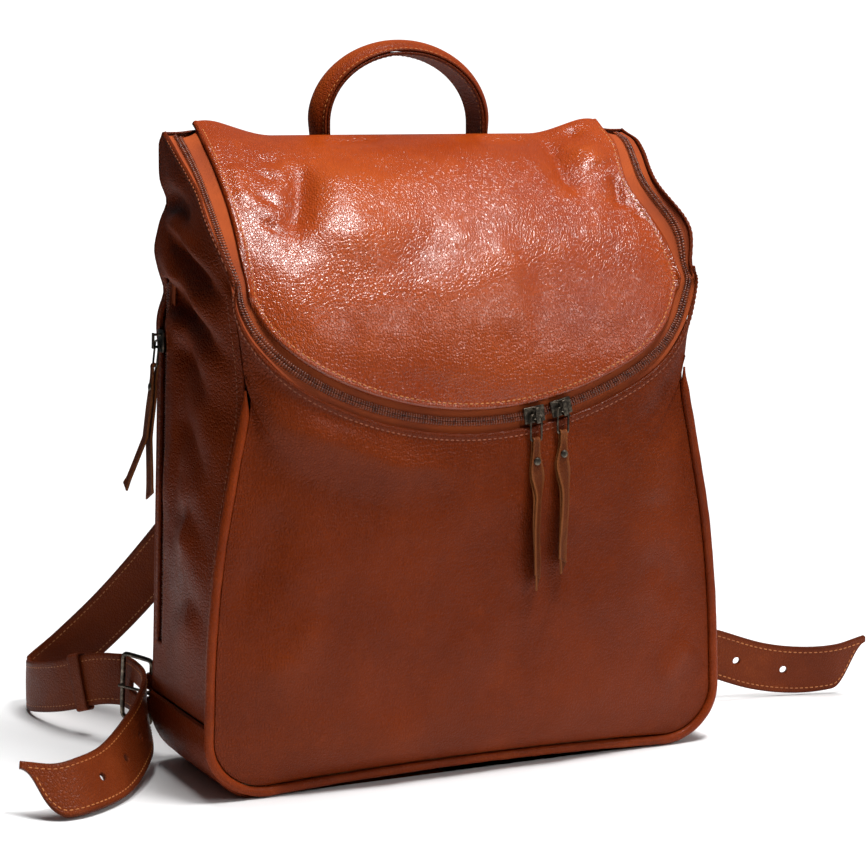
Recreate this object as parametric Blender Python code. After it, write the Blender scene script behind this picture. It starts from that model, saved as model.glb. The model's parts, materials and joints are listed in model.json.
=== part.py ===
"""Leather backpack with a zipped tongue lid, a top handle and two buckled shoulder straps.

Metres, +Z up.  The front of the bag faces -Y, its straps are on +Y.  The origin is the centre of the
base, on the ground.
"""
import math

import bmesh
import bpy
import numpy as np
from mathutils import Matrix, Vector

# Body of the bag
FRONT_Y = -0.050
BACK_Y = 0.050
CORNER_R = 0.035
BASE_HALF = 0.165
LEATHER = 0.0020
SEAM = 0.0006
BOOT_TOP = 0.0440
FRONT_BULGE = 0.0140
BACK_BULGE = 0.0060
FRONT_WIDTHS = ((0.035, 0.165), (0.090, 0.1625), (0.140, 0.157), (0.190, 0.1475), (0.225, 0.1410),
                (0.260, 0.1435), (0.300, 0.150), (0.380, 0.1535))
REAR_WIDTHS = ((0.035, 0.165), (0.070, 0.1635), (0.300, 0.1560), (0.380, 0.155))

# Piping
PIPE_R = 0.0028
PIPE_CLEAR = 0.0033
PIPE_TOP = 0.222
PIPE_LOW = 0.0034
FRONT_LOW = 0.0069
ARCH = 0.0035

# Zip round the lid: arcs about one centre at the front, then up both sides to the rear corners
ARC_Z = 0.423
BODY_R = 0.220
LID_R = 0.207
ZIP_R = 0.2135
ZIP_Y = -0.0640
BODY_EDGE = (0.103, 0.150, 0.300)
LID_EDGE = (0.097, 0.136, 0.288)
LID_CORNER_Y = -0.048
FRONT_SHARE = 0.62
ZIP_FRONT_SHARE = 0.66
BODY_ZIP_END = 0.985
LID_ZIP_END = 0.955
SIDE_BENDS = ((0.0080, 0.3590), (-0.0240, 0.3280))
CREST_BENDS = ((0.0100, 0.3680), (-0.0680, 0.3020))
TAPE_T = 0.0007
TAPE_DEPTH = 0.0029
COIL_W = 0.0026
COIL_T = 0.0018

# Lid hinge and rear edge
HINGE_Y = 0.0490
HINGE_Z = 0.3695
REAR_Y = 0.0488
REAR_Z = 0.3715
EAR_RISE = 0.0105

# Sliders on the lid zip, as angles from the lowest point of the arc
SLIDER_ANGLES = {"left": 8.6, "right": 13.4}
TAB_LENGTHS = {"left": 0.0850, "right": 0.0800}
PULL_W = 0.0070
PULL_L = 0.0150
PULL_R = 0.0007

# Zip in the left rear seam
BACK_ZIP_Y = 0.0385
BACK_ZIP_Z = (0.075, 0.290)
BACK_SLIDER_Z = 0.2535
BACK_SLOT = 0.0082
BACK_PULL_LEAN = 7.0

# Handle
HANDLE_HALF = 0.053
HANDLE_X = 0.0050
HANDLE_FOOT_Z = 0.3560
HANDLE_TOP_Z = 0.4265
HANDLE_Y = 0.0650
HANDLE_W = 0.0240

# Shoulder straps
STRAP_W = 0.0320
STRAP_T = 0.0028
HOLE_R = 0.0025
BUCKLE_TILT = 26.0
BUCKLE_LENGTH = 0.0240
BUCKLE_WIDTH = 0.0400
BAR_R = 0.0016
PRONG_SLOT = (0.0150, 0.0120, 0.0044)


# ---------------------------------------------------------------- scene and materials

for old in list(bpy.data.objects):
    bpy.data.objects.remove(old, do_unlink=True)


def material(name, colour, roughness, metallic=0.0):
    made = bpy.data.materials.new(name)
    made.use_nodes = True
    shader = made.node_tree.nodes["Principled BSDF"]
    shader.inputs["Base Color"].default_value = (*colour, 1.0)
    shader.inputs["Roughness"].default_value = roughness
    shader.inputs["Metallic"].default_value = metallic
    return made


TAN = material("tan_leather", (0.42, 0.11, 0.03), 0.38)
BROWN = material("brown_leather", (0.26, 0.065, 0.022), 0.42)
STRAP_LEATHER = material("strap_leather", (0.22, 0.07, 0.03), 0.5)
LINING = material("lining_cotton", (0.30, 0.22, 0.15), 0.9)
TAPE = material("zip_tape", (0.33, 0.08, 0.03), 0.85)
COIL = material("zip_coil", (0.10, 0.03, 0.015), 0.5)
BRASS = material("antique_brass", (0.30, 0.23, 0.14), 0.4, 1.0)
BOARD = material("base_board", (0.24, 0.19, 0.14), 0.9)
FOAM = material("back_foam", (0.55, 0.54, 0.50), 0.95)


# ---------------------------------------------------------------- modelling helpers

def finish(mesh_object, skin, smooth=True):
    """Give the object its material and shading."""
    mesh_object.data.materials.append(skin)
    mesh_object.data.polygons.foreach_set("use_smooth", [smooth] * len(mesh_object.data.polygons))
    return mesh_object


def object_from(name, points, faces, skin, smooth=True):
    mesh = bpy.data.meshes.new(name)
    mesh.from_pydata([tuple(map(float, point)) for point in points], [], faces)
    mesh.update()
    made = bpy.data.objects.new(name, mesh)
    bpy.context.scene.collection.objects.link(made)
    return finish(made, skin, smooth)


def face_outward(made):
    """Turn every face of a closed shape to point out of it."""
    shape = bmesh.new()
    shape.from_mesh(made.data)
    bmesh.ops.recalc_face_normals(shape, faces=shape.faces)
    shape.to_mesh(made.data)
    shape.free()
    return made


def thicken(made, thickness, offset=-1.0):
    """Solidify: offset -1 grows the sheet away from its outer face."""
    solid = made.modifiers.new("Solidify", "SOLIDIFY")
    solid.thickness = thickness
    solid.offset = offset
    solid.use_even_offset = False
    return made


def grid_faces(rows, columns, flip=False):
    faces = []
    for row in range(rows - 1):
        for column in range(columns - 1):
            a = row * columns + column
            face = (a, a + 1, a + columns + 1, a + columns)
            faces.append(face[::-1] if flip else face)
    return faces


def tube_faces(rings, sides, closed=False):
    """Faces that join successive rings of points, with a cap at each end unless the tube is closed."""
    faces = []
    for i in range(rings if closed else rings - 1):
        j = (i + 1) % rings
        for k in range(sides):
            m = (k + 1) % sides
            faces.append((i * sides + k, i * sides + m, j * sides + m, j * sides + k))
    if not closed:
        faces.append(tuple(range(sides))[::-1])
        faces.append(tuple((rings - 1) * sides + k for k in range(sides)))
    return faces


def sheet(name, points, thickness, skin, flip=False):
    """One leather or cloth panel from rows of points on its outer face."""
    rows, columns = points.shape[:2]
    faces = grid_faces(rows, columns, flip)
    return thicken(object_from(name, points.reshape(-1, 3), faces, skin), thickness)


def sweep(name, path, across, outward, profile, skin, closed=False, scale=None):
    """Sweep a closed profile of (across, outward) offsets along a path."""
    path, across, outward = (np.asarray(part, float) for part in (path, across, outward))
    count = len(path)
    scale = np.ones(count) if scale is None else np.asarray(scale, float)
    points = [path[i] + (across[i] * a + outward[i] * b) * scale[i] for i in range(count) for a, b in profile]
    return face_outward(object_from(name, points, tube_faces(count, len(profile), closed), skin))


def round_profile(radius, sides=10):
    return [(radius * math.cos(2 * math.pi * k / sides), radius * math.sin(2 * math.pi * k / sides))
            for k in range(sides)]


def flat_profile(width, low, high, bevel=0.0):
    """Rectangle width across, from low to high outward, with cut corners."""
    half = width / 2
    if not bevel:
        return [(-half, low), (half, low), (half, high), (-half, high)]
    return [(-half + bevel, low), (half - bevel, low), (half, low + bevel), (half, high - bevel),
            (half - bevel, high), (-half + bevel, high), (-half, high - bevel), (-half, low + bevel)]


def unit(vectors):
    vectors = np.asarray(vectors, float)
    return vectors / np.linalg.norm(vectors, axis=-1, keepdims=True)


def frames(path, outward, closed=False):
    """Tangent, across and outward directions along a path, square to each other."""
    path = np.asarray(path, float)
    if closed:
        tangent = unit(np.roll(path, -1, axis=0) - np.roll(path, 1, axis=0))
    else:
        tangent = unit(np.gradient(path, axis=0))
    across = unit(np.cross(outward, tangent))
    return tangent, across, np.cross(tangent, across)


def spline(keys, count):
    """Smooth curve through the keys (Catmull-Rom), resampled to equal steps."""
    keys = np.asarray(keys, float)
    ends = np.vstack([2 * keys[0] - keys[1], keys, 2 * keys[-1] - keys[-2]])
    dense = []
    for i in range(len(keys) - 1):
        p0, p1, p2, p3 = ends[i:i + 4]
        for t in np.linspace(0, 1, 20, endpoint=False):
            dense.append(0.5 * (2 * p1 + (p2 - p0) * t + (2 * p0 - 5 * p1 + 4 * p2 - p3) * t * t
                                + (3 * p1 - p0 - 3 * p2 + p3) * t ** 3))
    dense.append(keys[-1])
    dense = np.array(dense)
    along = np.concatenate([[0], np.cumsum(np.linalg.norm(np.diff(dense[:, :3], axis=0), axis=1))])
    wanted = np.linspace(0, along[-1], count)
    return np.stack([np.interp(wanted, along, dense[:, k]) for k in range(dense.shape[1])], axis=1)


def smooth(t):
    t = np.clip(t, 0.0, 1.0)
    return t * t * (3 - 2 * t)


def lerp(a, b, t):
    return a + (b - a) * t


def boolean(target, cutter, operation="DIFFERENCE"):
    cutter.hide_render = True
    cutter.display_type = "WIRE"
    change = target.modifiers.new("Boolean", "BOOLEAN")
    change.operation = operation
    change.solver = "EXACT"
    change.object = cutter
    return target


def block(name, size, centre, skin, turn=None):
    """Box of the given size, turned by a 3 x 3 matrix about its centre."""
    shape = bmesh.new()
    bmesh.ops.create_cube(shape, size=1.0)
    bmesh.ops.scale(shape, vec=size, verts=shape.verts)
    if turn is not None:
        bmesh.ops.transform(shape, matrix=turn.to_4x4(), verts=shape.verts)
    bmesh.ops.translate(shape, vec=centre, verts=shape.verts)
    mesh = bpy.data.meshes.new(name)
    shape.to_mesh(mesh)
    shape.free()
    made = bpy.data.objects.new(name, mesh)
    bpy.context.scene.collection.objects.link(made)
    return finish(made, skin, smooth=False)


def rod(name, radius, start, end, skin, sides=16):
    """Round bar between two points."""
    start, end = np.asarray(start, float), np.asarray(end, float)
    tangent = unit(end - start)
    helper = np.array([0.0, 0.0, 1.0]) if abs(tangent[2]) < 0.9 else np.array([1.0, 0.0, 0.0])
    across = unit(np.cross(helper, tangent))
    outward = np.cross(tangent, across)
    return sweep(name, [start, end], [across] * 2, [outward] * 2, round_profile(radius, sides), skin)


def bake(made):
    """Apply the modifiers, and remove the helpers that they used."""
    helpers = [change.object for change in made.modifiers if change.type == "BOOLEAN"]
    graph = bpy.context.evaluated_depsgraph_get()
    mesh = bpy.data.meshes.new_from_object(made.evaluated_get(graph))
    made.modifiers.clear()
    made.data = mesh
    for helper in helpers:
        bpy.data.objects.remove(helper, do_unlink=True)
    return made


def set_origin(made, point):
    """Move the object's origin to a point on its joint axis, and leave its shape where it is."""
    offset = Vector(point) - made.location
    made.data.transform(Matrix.Translation(-offset))
    made.location = point
    return made


# ---------------------------------------------------------------- shape of the body

def corner_half(z, upper):
    """Half width at height z: the rounded lower corner, then the width given for the height above it."""
    z = np.asarray(z, float)
    below = np.clip(CORNER_R - z, 0.0, CORNER_R)
    arc = BASE_HALF - CORNER_R + np.sqrt(np.maximum(CORNER_R ** 2 - below ** 2, 0.0))
    return np.where(z < CORNER_R, arc, upper)


def corner_inset(z, inset, bottom):
    """Half width of the rounded lower corner, drawn in by an inset, down to a flat at the bottom."""
    rise = np.clip((CORNER_R - np.asarray(z, float)) / (CORNER_R - bottom), 0.0, 1.0)
    return BASE_HALF - CORNER_R + (CORNER_R - inset) * np.sqrt(1 - rise ** 2)


def table(z, pairs):
    """Smooth interpolation of (height, width) pairs."""
    heights, widths = np.array(pairs).T
    slopes = np.gradient(widths, heights)
    z = np.clip(np.asarray(z, float), heights[0], heights[-1])
    i = np.clip(np.searchsorted(heights, z, side="right") - 1, 0, len(heights) - 2)
    span = heights[i + 1] - heights[i]
    t = (z - heights[i]) / span
    return ((2 * t ** 3 - 3 * t ** 2 + 1) * widths[i] + (t ** 3 - 2 * t ** 2 + t) * span * slopes[i]
            + (3 * t ** 2 - 2 * t ** 3) * widths[i + 1] + (t ** 3 - t ** 2) * span * slopes[i + 1])


def front_half(z):
    return corner_half(z, table(z, FRONT_WIDTHS))


def rear_half(z):
    heights, widths = np.array(REAR_WIDTHS).T
    return corner_half(z, np.interp(z, heights, widths))


def edge_curve(u, radius, shape, side_y):
    """Leather edge beside the zip at the front: an arc, then a curve up to the side.  u runs -1 to 1."""
    x_arc, x_side, z_side = shape
    share = np.abs(u)
    angle = np.minimum(share / FRONT_SHARE, 1.0) * math.asin(x_arc / radius)
    x, z = radius * np.sin(angle), ARC_Z - radius * np.cos(angle)
    z_arc = ARC_Z - math.sqrt(radius ** 2 - x_arc ** 2)
    slope = x_arc / math.sqrt(radius ** 2 - x_arc ** 2)
    z_bend = z_arc + slope * (x_side - x_arc)
    t = np.clip((share - FRONT_SHARE) / (1 - FRONT_SHARE), 0.0, 1.0)
    x = np.where(t > 0, (1 - t) ** 2 * x_arc + (1 - (1 - t) ** 2) * x_side, x)
    z = np.where(t > 0, (1 - t) ** 2 * z_arc + 2 * t * (1 - t) * z_bend + t ** 2 * z_side, z)
    y = ZIP_Y + (side_y - ZIP_Y) * smooth(t)
    return np.stack([np.sign(u) * x, y, z], axis=-1)


def side_top(t):
    """(y, z) of the side panel's top edge, from the front seam to the rear seam."""
    y = (1 - t) ** 2 * (FRONT_Y + 0.0026) + 2 * t * (1 - t) * -0.034 + t ** 2 * (BACK_Y - 0.0026)
    z = (1 - t) ** 2 * BODY_EDGE[2] + 2 * t * (1 - t) * 0.335 + t ** 2 * 0.378
    return y, z


def side_x(y_share, z):
    """Half width of the side panel, from front (0) to rear (1): full in the middle, straight at the rear zip."""
    fullness = 0.005 * np.sin(np.pi * np.clip(y_share / 0.8, 0, 1)) ** 2
    height = np.sin(np.pi * np.clip((z - BOOT_TOP) / 0.30, 0, 1)) ** 0.7
    straight = y_share + (1 - y_share) * smooth((y_share - 0.70) / 0.12)
    return lerp(front_half(z), rear_half(z), straight) + fullness * height


def front_surface(columns=21, rows=13):
    u = np.linspace(-1, 1, columns)[None, :]
    v = (np.linspace(0, 1, rows) ** 1.35)[:, None]
    top = edge_curve(u, BODY_R, BODY_EDGE, FRONT_Y)
    g = lerp(u, top[..., 0] / BODY_EDGE[1], v)
    side_z = lerp(FRONT_LOW, BODY_EDGE[2], v)
    inset = PIPE_CLEAR * (1 - smooth((side_z - PIPE_TOP - 0.007) / 0.014))
    half = np.where(side_z < CORNER_R, corner_inset(side_z, PIPE_CLEAR, FRONT_LOW), front_half(side_z) - inset)
    x = g * half
    low = FRONT_LOW + ARCH * (1 - u ** 2)
    z = lerp(low, top[..., 2], v)
    lower = 1 - np.abs(g) ** 2.6
    upper = (top[..., 1] - FRONT_Y) / (ZIP_Y - FRONT_Y)
    rise = np.sqrt(1 - (1 - np.minimum(v / 0.16, 1)) ** 2)
    y = FRONT_Y - FRONT_BULGE * lerp(lower, upper, v) * rise
    return np.stack(np.broadcast_arrays(x, y, z), axis=-1)


def side_surface(side, columns=11, rows=14):
    u = np.linspace(0, 1, columns)[None, :]
    v = np.linspace(0, 1, rows)[:, None]
    y_top, z_top = side_top(u)
    z = lerp(BOOT_TOP + SEAM, z_top, v)
    inset = PIPE_CLEAR - (PIPE_CLEAR - 0.0026) * smooth((z - PIPE_TOP - 0.007) / 0.014)
    y = lerp(lerp(FRONT_Y + inset, BACK_Y - 0.0026, u), y_top, v)
    x = side_x(u, z)
    return np.stack(np.broadcast_arrays(side * x, y, z), axis=-1)


def side_zip_point(height):
    """Point of the side panel's outer face on the line of the left rear zip."""
    share = (BACK_ZIP_Y - FRONT_Y) / (BACK_Y - FRONT_Y)
    return np.array([-float(side_x(share, np.array(height))), BACK_ZIP_Y, height])


def base_surface(bends=9):
    angles = np.linspace(0, math.pi / 2, bends)
    arc = [(BASE_HALF - CORNER_R + CORNER_R * math.cos(a), CORNER_R - CORNER_R * math.sin(a)) for a in angles]
    half = [(BASE_HALF, BOOT_TOP)] + arc + [(0.065, 0.0)]
    outline = half + [(-x, z) for x, z in reversed(half)]
    depths = np.linspace(FRONT_Y + PIPE_CLEAR, BACK_Y - 0.0026, 4)
    return np.array([[(x, y, z) for y in depths] for x, z in outline])


def back_top(x):
    return 0.3680 + 0.0095 * smooth((np.abs(x) - 0.090) / 0.050)


def back_surface(columns=13, rows=12, low=0.0008):
    u = np.linspace(-1, 1, columns)[None, :]
    t = np.linspace(0, 1, rows)[:, None]
    v = lerp(t, t ** 1.6, 1 - t)
    z_side = lerp(low, 0.3785, v)
    x = u * rear_half(z_side)
    z = lerp(low, back_top(x), v)
    y = BACK_Y + BACK_BULGE * (1 - u ** 4) * np.sin(np.pi * v) ** 0.7
    return np.stack(np.broadcast_arrays(x, y, z), axis=-1)


def back_y(x, z):
    """Outer face of the back panel at (x, z)."""
    v = (z - 0.0008) / (float(back_top(x)) - 0.0008)
    u = x / float(rear_half(z))
    return BACK_Y + BACK_BULGE * (1 - u ** 4) * math.sin(math.pi * v) ** 0.7


def lid_surface(columns=19, rows=13):
    """Tongue lid: each column is a curve from the rear seam over the crest to the zip."""
    u = np.linspace(-1, 1, columns)[None, :]
    t = np.linspace(0, 1, rows)[:, None]
    x_rear = u * LID_EDGE[1]
    z_rear = REAR_Z + EAR_RISE * smooth((np.abs(x_rear) - 0.085) / 0.050)
    front = edge_curve(u, LID_R, LID_EDGE, LID_CORNER_Y)
    full = 1 - np.abs(u) ** 2.4
    (y1, z1), (y2, z2) = [[lerp(edge, middle, full) for edge, middle in zip(*pair)]
                          for pair in zip(SIDE_BENDS, CREST_BENDS)]
    b0, b1, b2, b3 = (1 - t) ** 3, 3 * t * (1 - t) ** 2, 3 * t ** 2 * (1 - t), t ** 3
    x = lerp(x_rear, front[..., 0], smooth(t) * 0.5 + t * 0.5)
    y = b0 * REAR_Y + b1 * y1 + b2 * y2 + b3 * front[..., 1]
    z = b0 * z_rear + b1 * z1 + b2 * z2 + b3 * front[..., 2]
    return np.stack(np.broadcast_arrays(x, y, z), axis=-1)


def zip_edges(s):
    """Lid-side and body-side leather edges at the same place along the zip, s from -1 to 1."""
    share = np.abs(s)
    u = np.sign(s) * np.minimum(share / ZIP_FRONT_SHARE, 1.0)
    lid_front = edge_curve(u, LID_R, LID_EDGE, LID_CORNER_Y)
    body_front = edge_curve(u, BODY_R, BODY_EDGE, FRONT_Y)
    along = np.clip((share - ZIP_FRONT_SHARE) / (1 - ZIP_FRONT_SHARE), 0.0, 1.0)
    t = 1 - along
    b0, b1, b2, b3 = (1 - t) ** 3, 3 * t * (1 - t) ** 2, 3 * t ** 2 * (1 - t), t ** 3
    (y1, z1), (y2, z2) = SIDE_BENDS
    lid_side = np.stack([np.sign(s) * LID_EDGE[1] * np.ones_like(t),
                         b0 * REAR_Y + b1 * y1 + b2 * y2 + b3 * LID_CORNER_Y,
                         b0 * (REAR_Z + EAR_RISE) + b1 * z1 + b2 * z2 + b3 * LID_EDGE[2]], axis=-1)
    y_top, z_top = side_top(along)
    share_y = (y_top - FRONT_Y) / (BACK_Y - FRONT_Y)
    body_side = np.stack([np.sign(s) * side_x(np.clip(share_y, 0, 1), z_top), y_top, z_top], axis=-1)
    at_side = (share > ZIP_FRONT_SHARE)[..., None]
    return np.where(at_side, lid_side, lid_front), np.where(at_side, body_side, body_front), along


def zip_strip(name, near, far, low, high, skin, end=BODY_ZIP_END, count=45):
    """Strip along the zip between two distances from its centre line, low to high above the tape."""
    s = np.linspace(-BODY_ZIP_END, BODY_ZIP_END, count)
    lid, body, along = zip_edges(s)
    centre = (lid + body) / 2
    across = unit(body - lid)
    tangent = unit(np.gradient(centre, axis=0))
    outward = unit(np.cross(across, tangent))
    depth = TAPE_DEPTH + 0.0008 * smooth(along / 0.15)
    half_gap = np.linalg.norm(body - lid, axis=1) / 2
    a, b = near(half_gap, along, s), far(half_gap, along, s)
    kept = np.flatnonzero(np.abs(s) <= end)
    points = []
    for i in kept:
        middle = centre[i] - outward[i] * depth[i]
        for offset, height in ((a[i], low), (b[i], low), (b[i], high), (a[i], high)):
            points.append(middle + across[i] * offset + outward[i] * height)
    return face_outward(object_from(name, points, tube_faces(len(kept), 4), skin))


# ---------------------------------------------------------------- panels

front_panel = sheet("front_panel", front_surface(), LEATHER, BROWN)
back_panel = sheet("back_panel", back_surface(), LEATHER, BROWN, flip=True)
base_panel = sheet("base_panel", base_surface(), LEATHER, BROWN, flip=True)
lid_panel = set_origin(sheet("lid_panel", lid_surface(), LEATHER, TAN, flip=True), (0, HINGE_Y, HINGE_Z))
side_panels = {
    "left": sheet("side_panel_left", side_surface(-1), LEATHER, BROWN, flip=True),
    "right": sheet("side_panel_right", side_surface(1), LEATHER, BROWN),
}

# Lid lining: the same surface, inside the leather, short of the zip.
lining_points = lid_surface(15, 11)
du = np.gradient(lining_points, axis=1)
dv = np.gradient(lining_points, axis=0)
inward = unit(np.cross(du, dv))
lining_points = lining_points[1:-1, 1:-1] + inward[1:-1, 1:-1] * (LEATHER + 0.0012)
lid_lining = sheet("lid_lining", lining_points, 0.0008, LINING, flip=True)
set_origin(lid_lining, (0, HINGE_Y, HINGE_Z))


# Piping round the left, bottom and right of the front panel.
def piping():
    side = [(float(front_half(z)), FRONT_Y, z) for z in np.linspace(PIPE_TOP, CORNER_R + 0.006, 13)]
    corner = [(BASE_HALF - CORNER_R + CORNER_R * math.sin(a), FRONT_Y, CORNER_R - (CORNER_R - PIPE_LOW) * math.cos(a))
              for a in np.radians(np.linspace(90, 0, 7))]
    flat = BASE_HALF - CORNER_R
    bottom = [(x, FRONT_Y, PIPE_LOW + ARCH * (1 - (x / flat) ** 2)) for x in (0.098, 0.065, 0.032)]
    half = side + corner + bottom
    path = np.array(half + [(0.0, FRONT_Y, PIPE_LOW + ARCH)] + [(-x, y, z) for x, y, z in reversed(half)])
    outward = np.tile([0.0, -1.0, 0.0], (len(path), 1))
    _, across, outward = frames(path, outward)
    scale = np.ones(len(path))
    scale[[0, -1]] = 0.35
    scale[[1, -2]] = 0.85
    return sweep("piping_front", path, across, outward, round_profile(PIPE_R, 7), BROWN, scale=scale)


piping()

# Zip tapes and coils.
GAP = 0.00015


def under_leather(s):
    """1 where the tape runs on under the leather edges, 0 at the sides."""
    return 1 - smooth((np.abs(s) - 0.36) / 0.16)


zip_tape_lid = zip_strip(
    "zip_tape_lid",
    lambda half, along, s: -half - 0.0035 * under_leather(s) + 0.0012 * (1 - under_leather(s)),
    lambda half, along, s: np.full_like(half, -GAP), -TAPE_T, 0.0, TAPE, LID_ZIP_END)
zip_tape_body = zip_strip(
    "zip_tape_body",
    lambda half, along, s: np.full_like(half, GAP),
    lambda half, along, s: half + 0.0035 * under_leather(s) - 0.0056 * (1 - under_leather(s)), -TAPE_T, 0.0, TAPE)
zip_coil_lid = zip_strip(
    "zip_coil_lid", lambda half, along, s: np.full_like(half, -GAP - COIL_W),
    lambda half, along, s: np.full_like(half, -GAP), 0.0004, COIL_T, COIL, LID_ZIP_END)
zip_coil_body = zip_strip(
    "zip_coil_body", lambda half, along, s: np.full_like(half, GAP),
    lambda half, along, s: np.full_like(half, GAP + COIL_W), 0.0004, COIL_T, COIL)
for made in (zip_tape_lid, zip_coil_lid):
    set_origin(made, (0, HINGE_Y, HINGE_Z))


# ---------------------------------------------------------------- inside of the bag

def rounded_outline(half_x, y_low, y_high, radius, per_corner=2, per_side=5):
    """Outline of a rounded rectangle seen from above, anticlockwise."""
    points = []
    corners = ((half_x, y_high, 0), (-half_x, y_high, 90), (-half_x, y_low, 180), (half_x, y_low, 270))
    for n, (x, y, start) in enumerate(corners):
        cx, cy = x - math.copysign(radius, x), y - math.copysign(radius, y - (y_low + y_high) / 2)
        arc = [(cx + radius * math.cos(math.radians(start + 90 * k / per_corner)),
                cy + radius * math.sin(math.radians(start + 90 * k / per_corner))) for k in range(per_corner + 1)]
        points.extend(arc)
        following = corners[(n + 1) % 4]
        nx = following[0] - math.copysign(radius, following[0])
        ny = following[1] - math.copysign(radius, following[1] - (y_low + y_high) / 2)
        first = (nx + radius * math.cos(math.radians(following[2])), ny + radius * math.sin(math.radians(following[2])))
        last = arc[-1]
        points.extend([(lerp(last[0], first[0], k / per_side), lerp(last[1], first[1], k / per_side))
                       for k in range(1, per_side)])
    return np.array(points)


LINING_Y = (-0.0445, 0.0400)
LINING_LOW = 0.0060


def lining_rim(x, y):
    """Height of the lining's open rim over the point (x, y) of its outline."""
    if y > 0.030:
        return 0.3600
    if y > -0.036:
        t = (y + 0.0474) / 0.0948
        return 0.296 + 0.064 * smooth((t - 0.10) / 0.80)
    radius = BODY_R + 0.0110
    arc = ARC_Z - math.sqrt(radius ** 2 - min(abs(x), 0.115) ** 2)
    return lerp(arc, 0.262, float(smooth((abs(x) - 0.100) / 0.030)))


def lining_bag():
    rows = 7
    base = rounded_outline(1.0, LINING_Y[0], LINING_Y[1], 0.010)
    points = []
    for row in range(rows):
        v = row / (rows - 1)
        for x_share, y in base:
            top = lining_rim(x_share * 0.135, y)
            z = lerp(LINING_LOW, top, v)
            depth_share = (y - FRONT_Y) / (BACK_Y - FRONT_Y)
            narrow = lerp(float(front_half(z)), float(rear_half(z)), depth_share) - 0.0060
            points.append((x_share * narrow, y, z))
    count = len(base)
    faces = []
    for row in range(rows - 1):
        for k in range(count):
            m = (k + 1) % count
            faces.append((row * count + k, row * count + m, (row + 1) * count + m, (row + 1) * count + k))
    faces.append(tuple(range(count))[::-1])
    return thicken(object_from("lining_bag", points, faces, LINING), 0.0008)


lining_bag()

block("base_board", (0.250, 0.084, 0.0024), (0.0, -0.002, 0.0038), BOARD)


def back_foam():
    """Padding between the back panel and the lining."""
    z = np.linspace(0.045, 0.345, 7)
    outline = []
    for height in z:
        half = float(rear_half(height)) - 0.016
        outline.append([(x * half, 0.0470, height) for x in np.linspace(-1, 1, 7)])
    return thicken(object_from("back_foam", np.array(outline).reshape(-1, 3), grid_faces(7, 7, True), FOAM), 0.0060)


back_foam()


def inner_pocket():
    """Flat slip pocket sewn to the lining's rear wall, open at its top."""
    block("inner_pocket", (0.180, 0.0008, 0.130), (0.0, 0.0385, 0.135), LINING)


inner_pocket()


# ---------------------------------------------------------------- sliders and pulls

def placed(turn, origin):
    """Map local points (across, -outward, up) of a slider to the bag."""
    turn = np.asarray(turn, float)
    origin = np.asarray(origin, float)
    return lambda point: tuple(origin + turn @ np.asarray(point, float))


def slider(name, origin, turn, along_z):
    """Slider body: a plate over the coils, a flange beside them and a crown that holds the pull."""
    turn_matrix = Matrix(np.asarray(turn).tolist())
    place = placed(turn, origin)
    plate = (0.0094, 0.0014, 0.0130) if along_z else (0.0130, 0.0014, 0.0094)
    body = block(name, plate, place((0, -0.0007, 0)), BRASS, turn_matrix)
    flange_size = (0.0009, 0.0018, 0.0120) if along_z else (0.0120, 0.0018, 0.0009)
    flange_at = (0.0034, 0.0006, 0) if along_z else (0, 0.0006, 0.0034)
    parts = [block(name + "_flange", flange_size, place(flange_at), BRASS, turn_matrix)]
    for end in (-1, 1):
        parts.append(block(name + "_leg", (0.0022, 0.0044, 0.0014), place((0, -0.0032, end * 0.0036)), BRASS, turn_matrix))
    parts.append(block(name + "_crown", (0.0026, 0.0010, 0.0092), place((0, -0.0056, 0)), BRASS, turn_matrix))
    for part in parts:
        boolean(body, part, "UNION")
    return bake(body)


def pull_wire(name, origin, turn):
    """Closed wire loop that hangs from the crown; its top bar lies on the hinge axis."""
    place = placed(turn, origin)
    half, corner = PULL_W / 2, 0.0016
    path = []
    for cx, cz, start in ((half - corner, -corner, 0), (-half + corner, -corner, 90),
                          (-half + corner, -PULL_L + corner, 180), (half - corner, -PULL_L + corner, 270)):
        for k in range(4):
            angle = math.radians(start + 30 * k)
            path.append((cx + corner * math.cos(angle), 0.0, cz + corner * math.sin(angle)))
    path = np.array([place(point) for point in path])
    normal = np.tile(np.asarray(turn) @ np.array([0.0, -1.0, 0.0]), (len(path), 1))
    _, across, outward = frames(path, normal, closed=True)
    made = sweep(name, path, across, outward, round_profile(PULL_R, 8), BRASS, closed=True)
    return set_origin(made, place((0, 0, 0)))


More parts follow.
